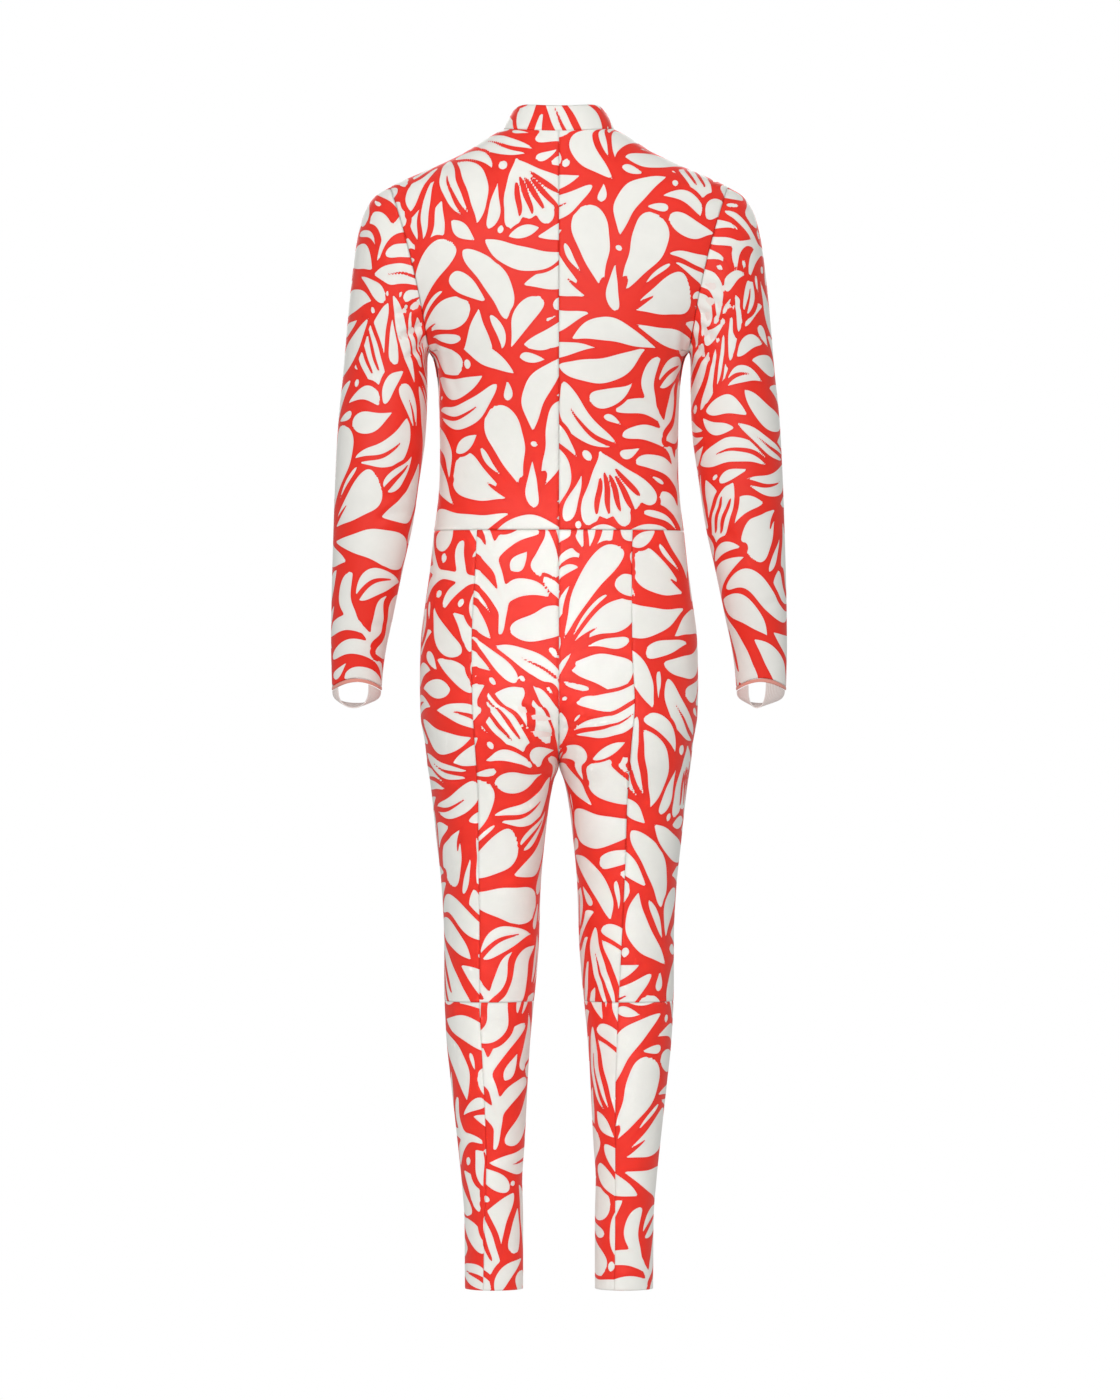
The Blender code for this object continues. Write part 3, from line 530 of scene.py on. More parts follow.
def draw(field, u, v, item):
    """Lay one motif over the field: below 0 is off-white, above 0 red, in millimetres."""
    shapes = item["on"] or item["off"]
    ends = [(s[0], s[1]) for s in shapes]
    ends += [turned(s[0], s[1], math.degrees(s[2]), s[3], 0) for s in shapes]
    centre_u = sum(p[0] for p in ends) / len(ends)
    centre_v = sum(p[1] for p in ends) / len(ends)
    reach = max(math.hypot(p[0] - centre_u, p[1] - centre_v) for p in ends)
    reach += max(s[4] + abs(s[7]) + abs(s[8]) for s in shapes) + item["gap"] + 3
    du = (u - centre_u + REPEAT[0] / 2) % REPEAT[0] - REPEAT[0] / 2
    dv = (v - centre_v + REPEAT[1] / 2) % REPEAT[1] - REPEAT[1] / 2
    near = np.flatnonzero((np.abs(du) < reach) & (np.abs(dv) < reach))
    if not len(near):
        return
    lu, lv = du[near] + centre_u, dv[near] + centre_v
    veins = None
    for shape in item["off"]:
        distance = bar_distance(lu, lv, shape)
        veins = distance if veins is None else np.minimum(veins, distance)
    if not item["on"]:
        field[near] = np.maximum(field[near], -veins)
        return
    outline = None
    soft = item["soft"]
    for shape in item["on"]:
        distance = bar_distance(lu, lv, shape)
        if outline is None:
            outline = distance
        elif soft:
            mix = np.maximum(soft - np.abs(outline - distance), 0) / soft
            outline = np.minimum(outline, distance) - mix ** 2 * soft / 4
        else:
            outline = np.minimum(outline, distance)
    inside = outline if veins is None else np.maximum(outline, -veins)
    field[near] = np.minimum(inside, np.maximum(field[near], item["gap"] - outline))


def leaf(x, y, angle, length, half, bend=0.0, vein=True):
    """A pointed leaf; a bowed one may be split by its midrib from the stalk on."""
    share = 0.68
    rise = 4 * bend * share * (1 - share)
    tilt = math.degrees(math.atan2(rise, share * length))
    rib = [bar(x, y, angle + tilt, length * share, 2.6, 0.10, 0.9, bend * share ** 2)]
    return [motif([bar(x, y, angle, length, half, 0.75, 1.0, bend)], rib if vein else ())]


def ribbon(x, y, angle, length, half, wave):
    """A long leaf that waves from side to side, plain, with a blunt tip."""
    return [motif([bar(x, y, angle, length, half, 0.9, 0.62, 0.0, wave)])]


def blossom(x, y, angle, size, petals, sweep):
    """A flower: broad petals with round tips, spread from a small heart."""
    items = []
    order = sorted(range(petals), key=lambda k: -abs(k - (petals - 1) / 2))
    step = sweep / petals
    for k in order:
        lean = (k - (petals - 1) / 2) * step
        length = size * (0.86 + 0.13 * math.cos(2.4 * k))
        half = min(size * math.sin(math.radians(step)) * 0.36, size * 0.175)
        px, py = turned(x, y, angle + lean, size * 0.17, 0)
        bow = 0.07 * size * math.sin(math.radians(lean))
        petal = bar(px, py, angle + lean, length * 0.94, half, 1.25, 0.40, bow)
        line = bar(px, py, angle + lean, length * 0.40, 2.6, 0.2, 0.9, bow * 0.2)
        items.append(motif([petal], [line] if k % 3 == 1 else (), gap=7.0))
    return items


def stamens(x, y, angle, size, count, sweep):
    """A red heart with short blunt rays, laid over the petals."""
    rays = [bar(x, y, angle + (k - (count - 1) / 2) * sweep / count, size * (0.80 + 0.20 * (k % 2)),
                size * 0.105, 0.35, 0.40) for k in range(count)]
    heart = bar(*turned(x, y, angle, -size * 0.35, 0), angle, size * 0.8, size * 0.36, 0.5, 0.5)
    return [motif([], rays + [heart])]


def fan(x, y, angle, size, sweep, ribs):
    """A ginkgo leaf: one broad blade with a scalloped edge and fine ribs."""
    blades = 5
    on = [bar(x, y, angle + (k - (blades - 1) / 2) * sweep / blades,
              size * (0.98 - 0.12 * (k % 2)), size * math.sin(math.radians(sweep / blades)) * 0.53,
              1.0, 0.40) for k in range(blades)]
    off = []
    for k in range(ribs):
        lean = (k - (ribs - 1) / 2) * sweep * 0.80 / ribs
        near = 0.27 + 0.07 * ((k * 2) % 3) / 2
        px, py = turned(x, y, angle + lean, size * near, 0)
        off.append(bar(px, py, angle + lean, size * (0.47 + 0.06 * (k % 2)), 2.8, 0.6, 0.6))
    return [motif(on, off, gap=7.5, soft=4.0)]


def tulip(x, y, angle, size):
    """A closed bloom: side petals folded round a middle one, on a little foot."""
    items = []
    for side in (-1, 1):
        items.append(motif([bar(x, y, angle + side * 30, size, size * 0.145, 0.8, 0.75,
                                -side * size * 0.16)]))
    items.append(motif([bar(x, y, angle, size * 0.92, size * 0.165, 0.85, 0.7)],
                       [bar(*turned(x, y, angle, size * 0.3, side * size * 0.05), angle + side * 3,
                            size * 0.42, 2.2, 0.5, 0.6) for side in (-1, 1)], gap=5.8))
    for side in (-1, 1):
        items.append(motif([bar(*turned(x, y, angle, -size * 0.02, 0), angle + side * 66,
                                size * 0.50, size * 0.08, 0.6, 1.1, -side * size * 0.08)], gap=5.6))
    return items


def frond(x, y, angle, length, lobes, lobe, bend):
    """A soft branch with rounded lobes on both sides, in one shape."""
    on = [bar(x, y, angle, length, 6.0, 0.25, 0.35, bend)]
    for k in range(lobes):
        t = 0.14 + 0.74 * k / max(lobes - 1, 1)
        px, py = turned(x, y, angle, length * t, 4 * bend * t * (1 - t))
        slope = math.degrees(math.atan2(4 * bend * (1 - 2 * t), length))
        reach = lobe * (0.80 + 0.50 * math.sin(math.pi * (t * 0.9 + 0.08)))
        for side in (-1, 1):
            qx, qy = turned(px, py, angle + slope, 0.27 * lobe * (side > 0), 0)
            on.append(bar(qx, qy, angle + slope + side * (62 - 22 * t), reach, lobe * 0.165,
                          0.40, 0.34, -side * lobe * 0.16))
    return [motif(on, gap=7.0, soft=5.0)]


def sprig(x, y, angle, length, pairs, blade, bend):
    """Paired leaves along a red stem, with one at its tip."""
    items = [motif([], [bar(x, y, angle, length, 3.2, 0.15, 0.3, bend)])]
    for k in range(pairs):
        t = 0.08 + 0.80 * k / max(pairs - 1, 1)
        px, py = turned(x, y, angle, length * t, 4 * bend * t * (1 - t))
        slope = math.degrees(math.atan2(4 * bend * (1 - 2 * t), length))
        size = blade * (1.06 - 0.36 * t)
        for side in (-1, 1):
            qx, qy = turned(px, py, angle + slope, 5 * side, side * 4.2)
            items += leaf(qx, qy, angle + slope + side * (46 - 12 * t), size, size * 0.17,
                          -side * size * 0.13, vein=k % 3 == 1)
    tip = turned(x, y, angle, length, 0)
    items += leaf(*tip, angle - 2 * bend / length * 57, blade * 0.8, blade * 0.18, 0.0)
    return items


LAYOUT = (
    # kind, x, y, direction in degrees, size, then the kind's own numbers
    (frond, 40, 40, 70, 186, 4, 60, 22),
    (sprig, 250, 10, 74, 176, 4, 84, -26),
    (sprig, 482, 44, 122, 138, 4, 70, 16),
    (blossom, 150, 320, 92, 132, 6, 232),
    (stamens, 150, 320, 92, 52, 6, 210),
    (fan, 432, 420, -98, 128, 70, 6),
    (tulip, 40, 470, 72, 122),
    (frond, 296, 236, 6, 120, 3, 44, 10),
    (blossom, 330, 560, 215, 118, 5, 212),
    (stamens, 330, 560, 215, 48, 5, 200),
    (fan, 160, 150, -112, 92, 74, 5),
    (tulip, 438, 478, 108, 96),
    (ribbon, 258, 362, 52, 132, 15, 14),
    (ribbon, 300, 420, 10, 112, 14, -12),
    (leaf, 515, 270, 116, 108, 18, 12, True),
    (ribbon, 6, 250, -52, 104, 14, 10),
    (leaf, 150, 520, 150, 104, 16, 11, False),
)
FILL_STEP = 4.0         # spacing of the places tried for a filling leaf
FILL_ROOM = 9.6         # least room round such a place
FILL_MOST = 130
FILL_SHORTEST = 26
FILL_WIDEST = 15.5      # half-width of the broadest filling leaf
FILL_GAP = 6.6          # room that a filling leaf leaves round its spine and edge
FILL_STRIDE = 4         # steps along a filling leaf's spine
FILL_REACH = 54         # its longest half
DOT_ROOM = 9.8          # least room round a dot
DOT_MOST = 40
CURVES = (-1 / 85, -1 / 170, 0.0, 1 / 170, 1 / 85)


def on_arc(x, y, angle, curve, way):
    """The place a distance along an arc that starts in a direction."""
    if curve == 0:
        return x + way * math.cos(angle), y + way * math.sin(angle)
    turn = angle + curve * way
    return (x + (math.sin(turn) - math.sin(angle)) / curve,
            y - (math.cos(turn) - math.cos(angle)) / curve)


def best_arc(room, x, y):
    """Ends and curve of the arc through a place that has the most room along it."""
    best = (0.0, None)
    for step in range(12):
        angle = math.radians(15 * step)
        for curve in CURVES:
            worth, ends = 0.0, []
            for way in (1, -1):
                go = 0.0
                while go < FILL_REACH:
                    space = room(*on_arc(x, y, angle, curve, way * (go + FILL_STRIDE)))
                    if space < FILL_GAP:
                        break
                    worth += min(space, FILL_WIDEST)
                    go += FILL_STRIDE
                ends.append(way * go)
            if worth > best[0]:
                best = (worth, (angle, curve, ends[1], ends[0]))
    return best[1]


def motifs():
    """All the motifs of one repeat, the large ones first and then leaves where there's room."""
    items = []
    for kind, *numbers in LAYOUT:
        items += kind(*numbers)
    across = int(REPEAT[0] / FILL_STEP)
    down = int(REPEAT[1] / FILL_STEP)
    u, v = (a.ravel() for a in np.meshgrid(np.arange(across) * REPEAT[0] / across,
                                           np.arange(down) * REPEAT[1] / down))
    field = np.full(u.shape, BARE)
    for item in items:
        draw(field, u, v, item)

    def room(x, y):
        i = int(round(x / REPEAT[0] * across)) % across
        j = int(round(y / REPEAT[1] * down)) % down
        return field[j * across + i]

    barred = np.zeros(u.shape, bool)
    for _ in range(FILL_MOST):
        at = int(np.argmax(np.where(barred, 0.0, field)))
        space = field[at]
        if space < FILL_ROOM or barred[at]:
            break
        x, y = u[at], v[at]
        far = np.hypot((u - x + REPEAT[0] / 2) % REPEAT[0] - REPEAT[0] / 2,
                       (v - y + REPEAT[1] / 2) % REPEAT[1] - REPEAT[1] / 2)
        barred |= far < 5
        found = best_arc(room, x, y)
        if found is None or found[3] - found[2] < FILL_SHORTEST:
            continue
        angle, curve, behind, ahead = found
        first = on_arc(x, y, angle, curve, behind)
        last = on_arc(x, y, angle, curve, ahead)
        length = math.hypot(last[0] - first[0], last[1] - first[1])
        heading = math.degrees(math.atan2(last[1] - first[1], last[0] - first[0]))
        widest = min(max(-behind / (ahead - behind), 0.25), 0.75)
        half = min(space - FILL_GAP, FILL_WIDEST, length * 0.22)
        if half < 3.0:
            continue
        full = 2.0 if RNG.random() < 0.7 else 1.2
        bend = -curve * (ahead - behind) ** 2 / 8
        shape = bar(*first, heading, length, half, full * widest, full * (1 - widest), bend)
        split = length > 62 and half > 10 and RNG.random() < 0.3
        share = 0.7
        tilt = math.degrees(math.atan2(4 * bend * share * (1 - share), share * length))
        rib = bar(*first, heading + tilt, length * share, 2.5, 0.1, 0.9, bend * share ** 2)
        items.append(motif([shape], [rib] if split else (), gap=3.0))
        draw(field, u, v, items[-1])
    for _ in range(DOT_MOST):
        at = int(np.argmax(field))
        if field[at] < DOT_ROOM:
            break
        half = min(field[at] - 5.6, 6.5) * RNG.uniform(0.75, 1.0)
        angle = RNG.uniform(0, 180)
        shape = bar(*turned(u[at], v[at], angle, -half * 1.1, 0), angle, half * 2.2, half, 0.5, 0.45)
        items.append(motif([shape], gap=0.0))
        draw(field, u, v, items[-1])
    return items


def print_field(u, v, items):
    """The print at each place: millimetres from a motif's edge, below 0 on off-white."""
    u = u + 1.9 * np.sin(v / 15.0) + 0.5 * np.sin(v / 5.7 + 1.3)
    v = v + 1.9 * np.sin(u / 17.5 + 0.7) + 0.5 * np.sin(u / 6.3)
    field = np.full(u.shape, BARE)
    for item in items:
        draw(field, u, v, item)
    return np.clip(field + INK_SPREAD, -9, 9)


# ---------------------------------------------------------------- cloth on the cut

# Where each piece was cut from the print: across, down and turn.
PRINT_PLACES = {
    # piece: (across, down, degrees)
    "collar": (250, 120, 4),
    "back_bodice_left": (215, 300, 2),
    "back_bodice_right": (120, 60, -3),
    "front_bodice_left": (330, 210, 3),
    "front_bodice_right": (60, 400, -2),
    "sleeve_left": (150, 140, 3),
    "sleeve_right": (300, 330, -4),
    "seat_left": (40, 180, 1),
    "seat_right": (260, 95, -1),
    "side_leg_left": (380, 330, 2),
    "side_leg_right": (175, 440, -2),
    "front_leg_left": (100, 250, 2),
    "front_leg_right": (290, 20, -3),
    "calf_left": (20, 470, 1),
    "calf_right": (240, 470, -1),
    "lower_side_left": (330, 60, 2),
    "lower_side_right": (90, 170, -2),
    "shin_left": (200, 380, 2),
    "shin_right": (400, 120, -2),
}


def grid_normals(points):
    across = np.gradient(points, axis=1)
    down = np.gradient(points, axis=0)
    normals = np.cross(across, down)
    return normals / np.maximum(np.linalg.norm(normals, axis=-1, keepdims=True), 1e-9)


def cloth_length(points, axis):
    """Length along the cloth to each place, down the columns (axis 0) or along the rows (1)."""
    step = np.linalg.norm(np.diff(points, axis=axis), axis=-1)
    return np.concatenate([0 * step.take([0], axis), np.cumsum(step, axis=axis)], axis=axis)


def fabric_places(points):
    """Length across from the middle column, and up from the bottom edge, in millimetres."""
    across = cloth_length(points, 1)
    return across - across[:, [points.shape[1] // 2]], cloth_length(points[::-1], 0)[::-1]


def creased(name, points):
    """The piece with its creases pressed in along its normals."""
    normals = grid_normals(points)
    depth = np.zeros(points.shape[:2])
    for words, face, lines in CREASES.values():
        if not any(word in name for word in words):
            continue
        on_face = points[..., 1] * face > -CREASE_OVER
        for start, end, width, deep, bow in lines:
            run = math.hypot(end[0] - start[0], end[1] - start[1])
            c, s = (end[0] - start[0]) / run, (end[1] - start[1]) / run
            x, z = points[..., 0] - start[0], points[..., 2] - start[1]
            along, aside = x * c + z * s, z * c - x * s
            t = np.clip(along / run, 0, 1)
            off = np.hypot(along - run * t, aside - 4 * bow * t * (1 - t))
            taper = np.minimum(1.0, 3.2 * (1 - t)) * np.minimum(1.0, 0.35 + 4 * t)
            trough = np.exp(-(off / width) ** 2) - 0.45 * np.exp(-((off - 1.9 * width) / width) ** 2)
            depth += deep * taper * trough * on_face
    return points - normals * depth[..., None]


def sewn_edges(points, normals):
    """Edges drawn in by half the seam's gap and rolled in where they are sewn."""
    moved = points.copy()
    half = CLOTH_GAP / 2
    for index, inside in ((0, 1), (-1, -2)):
        step = points[inside] - points[index]
        moved[index] += step / np.maximum(np.linalg.norm(step, axis=-1, keepdims=True), 1e-9) * half
        step = points[:, inside] - points[:, index]
        moved[:, index] += step / np.maximum(np.linalg.norm(step, axis=-1, keepdims=True), 1e-9) * half
    dip = np.zeros(points.shape[:2])
    dip[[0, -1]] = SEAM_DIP
    dip[:, [0, -1]] = SEAM_DIP
    return moved - normals * dip[..., None]


def edge_distance(points):
    """Distance of each place from the nearest edge of the piece, along the cloth."""
    left, top = cloth_length(points, 1), cloth_length(points, 0)
    return np.minimum(np.minimum(left, left[:, -1:] - left), np.minimum(top, top[-1:] - top))


def as_object(name, mesh, *materials):
    data = bpy.data.meshes.new(name)
    mesh.to_mesh(data)
    mesh.free()
    data.shade_smooth()
    for material in materials:
        data.materials.append(material)
    piece = bpy.data.objects.new(name, data)
    bpy.context.scene.collection.objects.link(piece)
    return piece


def cloth_grid(columns, rows):
    """A flat closed sheet, 1 thick, fine on its face and coarse on its reverse."""
    mesh = bmesh.new()
    bmesh.ops.create_grid(mesh, x_segments=columns, y_segments=rows, size=0.5)
    face_edges = [edge for edge in mesh.edges if edge.is_boundary]
    back = bmesh.ops.create_grid(mesh, x_segments=columns // COARSE, y_segments=rows // COARSE,
                                 size=0.5)["verts"]
    for vert in back:
        vert.co.z = -1.0
    faces = {face for vert in back for face in vert.link_faces}
    for face in faces:
        face.material_index = 1
    rim = list({edge for vert in back for edge in vert.link_edges if edge.is_boundary})
    bmesh.ops.subdivide_edges(mesh, edges=rim, cuts=COARSE - 1)
    back_edges = [edge for edge in mesh.edges
                  if edge.is_boundary and edge.verts[0].co.z < -0.5]
    bmesh.ops.bridge_loops(mesh, edges=face_edges + back_edges)
    bmesh.ops.recalc_face_normals(mesh, faces=mesh.faces)
    return mesh


def place_cloth(name, points, extras):
    """Lay the flat sheet on the points of a piece; extras are values kept for its material."""
    rows, columns = points.shape[0] - 1, points.shape[1] - 1
    normals = grid_normals(points)
    outside = sewn_edges(points, normals)
    piece = as_object(name, cloth_grid(columns, rows), PRINTED_KNIT, KNIT_REVERSE)
    data = piece.data
    flat = np.empty(len(data.vertices) * 3)
    data.vertices.foreach_get("co", flat)
    flat = flat.reshape(-1, 3)
    i = np.rint((flat[:, 1] + 0.5) * rows).astype(int)
    j = np.rint((flat[:, 0] + 0.5) * columns).astype(int)
    reverse = flat[:, 2] < -0.5
    places = outside[i, j] - normals[i, j] * (KNIT * reverse)[:, None]
    data.vertices.foreach_set("co", (places * MM).ravel())
    for key, values in extras.items():
        kept = values[i, j]
        kind = "FLOAT" if kept.ndim == 1 else "FLOAT_VECTOR"
        layer = data.attributes.new(key, kind, "POINT")
        layer.data.foreach_set("value" if kept.ndim == 1 else "vector", kept.ravel().astype(float))
    data.update()
    return piece


def knit_piece(name, points, items):
    """One printed piece of the suit on its solid, with its flat size as it was cut."""
    across, up = fabric_places(points)
    points = creased(name, points)
    shift_u, shift_v, angle = PRINT_PLACES[name]
    c, s = math.cos(math.radians(angle)), math.sin(math.radians(angle))
    u = across * c - up * s + shift_u
    v = across * s + up * c + shift_v
    fabric = np.stack([across * MM, up * MM, 0 * up], axis=-1)
    ink = print_field(u.ravel(), v.ravel(), items).reshape(u.shape)
    piece = place_cloth("knit_" + name, points, {
        "ink": ink, "fabric": fabric, "seam": edge_distance(points)})
    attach(piece, "suit")
    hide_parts(name)


# ---------------------------------------------------------------- small pieces

def walled(piece, thickness, offset, rolled=0.0):
    """Give a sheet its thickness and, where it has them, its rolled edges."""
    shell = piece.modifiers.new("wall", "SOLIDIFY")
    shell.thickness = thickness * MM
    shell.offset = offset
    if rolled:
        roll = piece.modifiers.new("rolled_edge", "BEVEL")
        roll.width = rolled * MM
        roll.segments = 2
        roll.limit_method = "ANGLE"


def edge_binding(name, ring, flip):
    """The elastic band round a cuff: rounded, a little proud of the sleeve, with fine ribs."""
    around = len(ring)
    profile = 8
    centre = ring.mean(axis=0)
    out = ring - centre
    out[:, 2] = 0
    out /= np.linalg.norm(out, axis=1, keepdims=True)
    mesh = bmesh.new()
    bmesh.ops.create_grid(mesh, x_segments=around, y_segments=profile, size=0.5)
    for vert in mesh.verts:
        j = int(round((vert.co.x + 0.5) * around)) % around
        drop = vert.co.y + 0.5
        rounding = 0.5 * math.sin(math.pi * drop) ** 0.6 - 0.25
        place = ring[j] + out[j] * rounding
        place = place - np.array([0, 0, 0.15 + drop * (BINDING_HEIGHT - 0.3)])
        x = -place[0] if flip else place[0]
        vert.co = Vector((x, place[1], place[2])) * MM
    bmesh.ops.remove_doubles(mesh, verts=mesh.verts, dist=0.01 * MM)
    bmesh.ops.recalc_face_normals(mesh, faces=mesh.faces)
    middle = Vector((-centre[0] if flip else centre[0], centre[1], centre[2])) * MM
    mesh.faces.ensure_lookup_table()
    first = mesh.faces[0]
    if first.normal.dot(first.calc_center_median() - middle) < 0:
        bmesh.ops.reverse_faces(mesh, faces=mesh.faces)
    piece = as_object("binding_" + name, mesh, ELASTIC_EDGE)
    walled(piece, BINDING_CLOTH - 0.4, -1, 0.5)
    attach(piece, "suit")
    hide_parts(name)


def hand_loop(side, ring):
    """The elastic strap in a U below a cuff; its ends follow the rim."""
    half_x = (ring[:, 0].max() - ring[:, 0].min()) / 2 - BINDING_CLOTH / 2
    half_y = (ring[:, 1].max() - ring[:, 1].min()) / 2 - BINDING_CLOTH / 2
    centre = (ring[:, 0].mean(), ring[:, 1].mean())
    arch = ring[:, 2].max() - ring[:, 2].min()
    low = ring[:, 2].min() - BINDING_HEIGHT - SEAM_GAP
    underarm, outer = LOOP_ENDS[side]
    steps, width = 96, 12

    def between(pair, share):
        return pair[0] + (pair[1] - pair[0]) * share

    def rim_place(angle):
        turn = math.radians(angle)
        return Vector((-half_x * math.cos(turn), half_y * math.sin(turn),
                       arch * math.sin(turn) ** 2))

    mesh = bmesh.new()
    bmesh.ops.create_grid(mesh, x_segments=steps, y_segments=width, size=0.5)
    reach = mesh.verts.layers.float_vector.new("fabric")
    for vert in mesh.verts:
        share, across = vert.co.x + 0.5, vert.co.y + 0.5
        dip = max(math.sin(math.pi * share), 0.0) ** LOOP_ROUND
        place = rim_place(between(underarm, across)).lerp(
            rim_place(between(outer, across)), (1 - math.cos(math.pi * share)) / 2)
        drop_y, drop_z = (between(pair, across) for pair in zip(LOOP_DROP_NEAR, LOOP_DROP_FAR))
        place.y += (drop_y - place.y) * dip
        place.z += (drop_z - place.z) * dip
        vert[reach] = (share * 0.1, (across - 0.5) * 0.02, 0)   # metres along and across it
        x = centre[0] + place.x
        vert.co = Vector((-x if side == "right" else x, centre[1] + place.y, low + place.z)) * MM
    area = sum(face.calc_area() for face in mesh.faces) / STRETCH
    piece = as_object("strap_hand_loop_" + side, mesh, ELASTIC_STRAP)
    walled(piece, LOOP_CLOTH, 0, 0.45)
    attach(piece, "suit")
    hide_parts("hand_loop_" + side)


def zip_line():
    """Places down the middle of the zip from the collar's top, and the length to each."""
    rows = [[row[-1], row[0]] for row in COLLAR_POINTS]
    rows += [[left[-1], right[0]] for left, right in zip(FRONT_LEFT[1:], FRONT_RIGHT[1:])]
    middles = np.array([(a + b) / 2 for a, b in rows])
    length = np.concatenate([[0], np.cumsum(np.linalg.norm(np.diff(middles, axis=0), axis=1))])
    return middles, length


def zip_tape():
    """The woven tape between the fronts, with the welt that the coil sits on."""
    middles, _ = zip_line()
    along = np.gradient(middles, axis=0)
    along /= np.linalg.norm(along, axis=1, keepdims=True)
    out = np.cross(np.array([1.0, 0, 0]), along)
    out[out[:, 1] > 0] *= -1
    profile = ((-3.35, -0.35), (-2.9, 0.0), (-2.3, 0.05), (-1.9, 0.3), (1.9, 0.3), (2.3, 0.05),
               (2.9, 0.0), (3.35, -0.35))
    mesh = bmesh.new()
    bmesh.ops.create_grid(mesh, x_segments=len(profile) - 1, y_segments=len(middles) - 1, size=0.5)
    for vert in mesh.verts:
        i = int(round((vert.co.y + 0.5) * (len(middles) - 1)))
        x, raised = profile[int(round((vert.co.x + 0.5) * (len(profile) - 1)))]
        place = middles[i] + np.array([x, 0, 0]) + out[i] * raised
        if i == 0:
            place = place + along[i] * 0.2
        if i == len(middles) - 1:
            place = place - along[i] * 0.2
        vert.co = Vector(place) * MM
    mesh.normal_update()
    mesh.faces.ensure_lookup_table()
    if mesh.faces[0].normal.y > 0:
        bmesh.ops.reverse_faces(mesh, faces=mesh.faces)
    piece = as_object("zip_tape", mesh, ZIP_TAPE)
    walled(piece, 0.8, -1)
    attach(piece, "suit")
    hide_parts("zip")


def zip_coil():
    """The closed coil: two rows of small nylon loops that mesh in the middle."""
    middles, length = zip_line()
    mesh = bmesh.new()
    count = int((length[-1] - 3.0) / COIL_PITCH)
    for side in (-1, 1):
        for k in range(count):
            place = 1.5 + (k + 0.25 * side) * COIL_PITCH
            at = [np.interp(place, length, middles[:, axis]) for axis in range(3)]
            after = [np.interp(place + 1, length, middles[:, axis]) for axis in range(3)]
            along = (Vector(after) - Vector(at)).normalized()
            out = Vector((1, 0, 0)).cross(along).normalized()
            out = -out if out.y > 0 else out
            made = bmesh.ops.create_cube(mesh, size=1.0)["verts"]
            for vert in made:
                x, y, z = vert.co
                narrow = 1.0 if y * side > 0 else 0.72
                lift = 0.62 + z * 0.62
                vert.co = (Vector(at) + Vector((side * 0.85 + y * 2.1, 0, 0))
                           + along * x * 0.62 * narrow + out * lift) * MM
    bmesh.ops.recalc_face_normals(mesh, faces=mesh.faces)
    piece = as_object("zip_coil", mesh, ZIP_COIL)
    piece.data.shade_flat()
    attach(piece, "suit")


# ---------------------------------------------------------------- materials

def linear(code):
    """An sRGB hex colour as linear light."""
    values = [int(code[k:k + 2], 16) / 255 for k in (1, 3, 5)]
    return [v / 12.92 if v <= 0.04045 else ((v + 0.055) / 1.055) ** 2.4 for v in values] + [1.0]


def node(tree, kind, links=(), stops=(), **settings):
    """Add a node; settings are its properties or, by name, its inputs; links are (input, socket).

    Stops are a colour ramp's (position, sRGB hex colour), from low to high.
    """
    made = tree.nodes.new(kind)
    for key, value in settings.items():
        if hasattr(made, key):
            setattr(made, key, value)
    for key, value in settings.items():
        if not hasattr(made, key):
            made.inputs[key.replace("__", " ")].default_value = value
    for target, source in links:
        tree.links.new(source, made.inputs[target])
    for k, (position, code) in enumerate(stops):
        bands = made.color_ramp.elements
        band = bands[k] if k < 2 else bands.new(position)
        band.position, band.color = position, linear(code)
    return made


def new_material(name, **shader):
    material = bpy.data.materials.new(name)
    material.use_nodes = True
    tree = material.node_tree
    surface = tree.nodes["Principled BSDF"]
    for key, value in shader.items():
        surface.inputs[key.replace("__", " ")].default_value = value
    material.diffuse_color = surface.inputs["Base Color"].default_value[:]
    return material, tree, surface


def patterned(tree, surface, pattern, stops, strength=0.0, depth=0.0):
    """Colour a surface by a pattern, from its low places to its high ones, and raise these."""
    colours = node(tree, "ShaderNodeValToRGB", [("Fac", pattern.outputs["Fac"])], stops=stops)
    tree.links.new(colours.outputs["Color"], surface.inputs["Base Color"])
    if depth:
        raised = node(tree, "ShaderNodeBump", [("Height", pattern.outputs["Fac"])],
                      Strength=strength, Distance=depth * MM)
        tree.links.new(raised.outputs["Normal"], surface.inputs["Normal"])


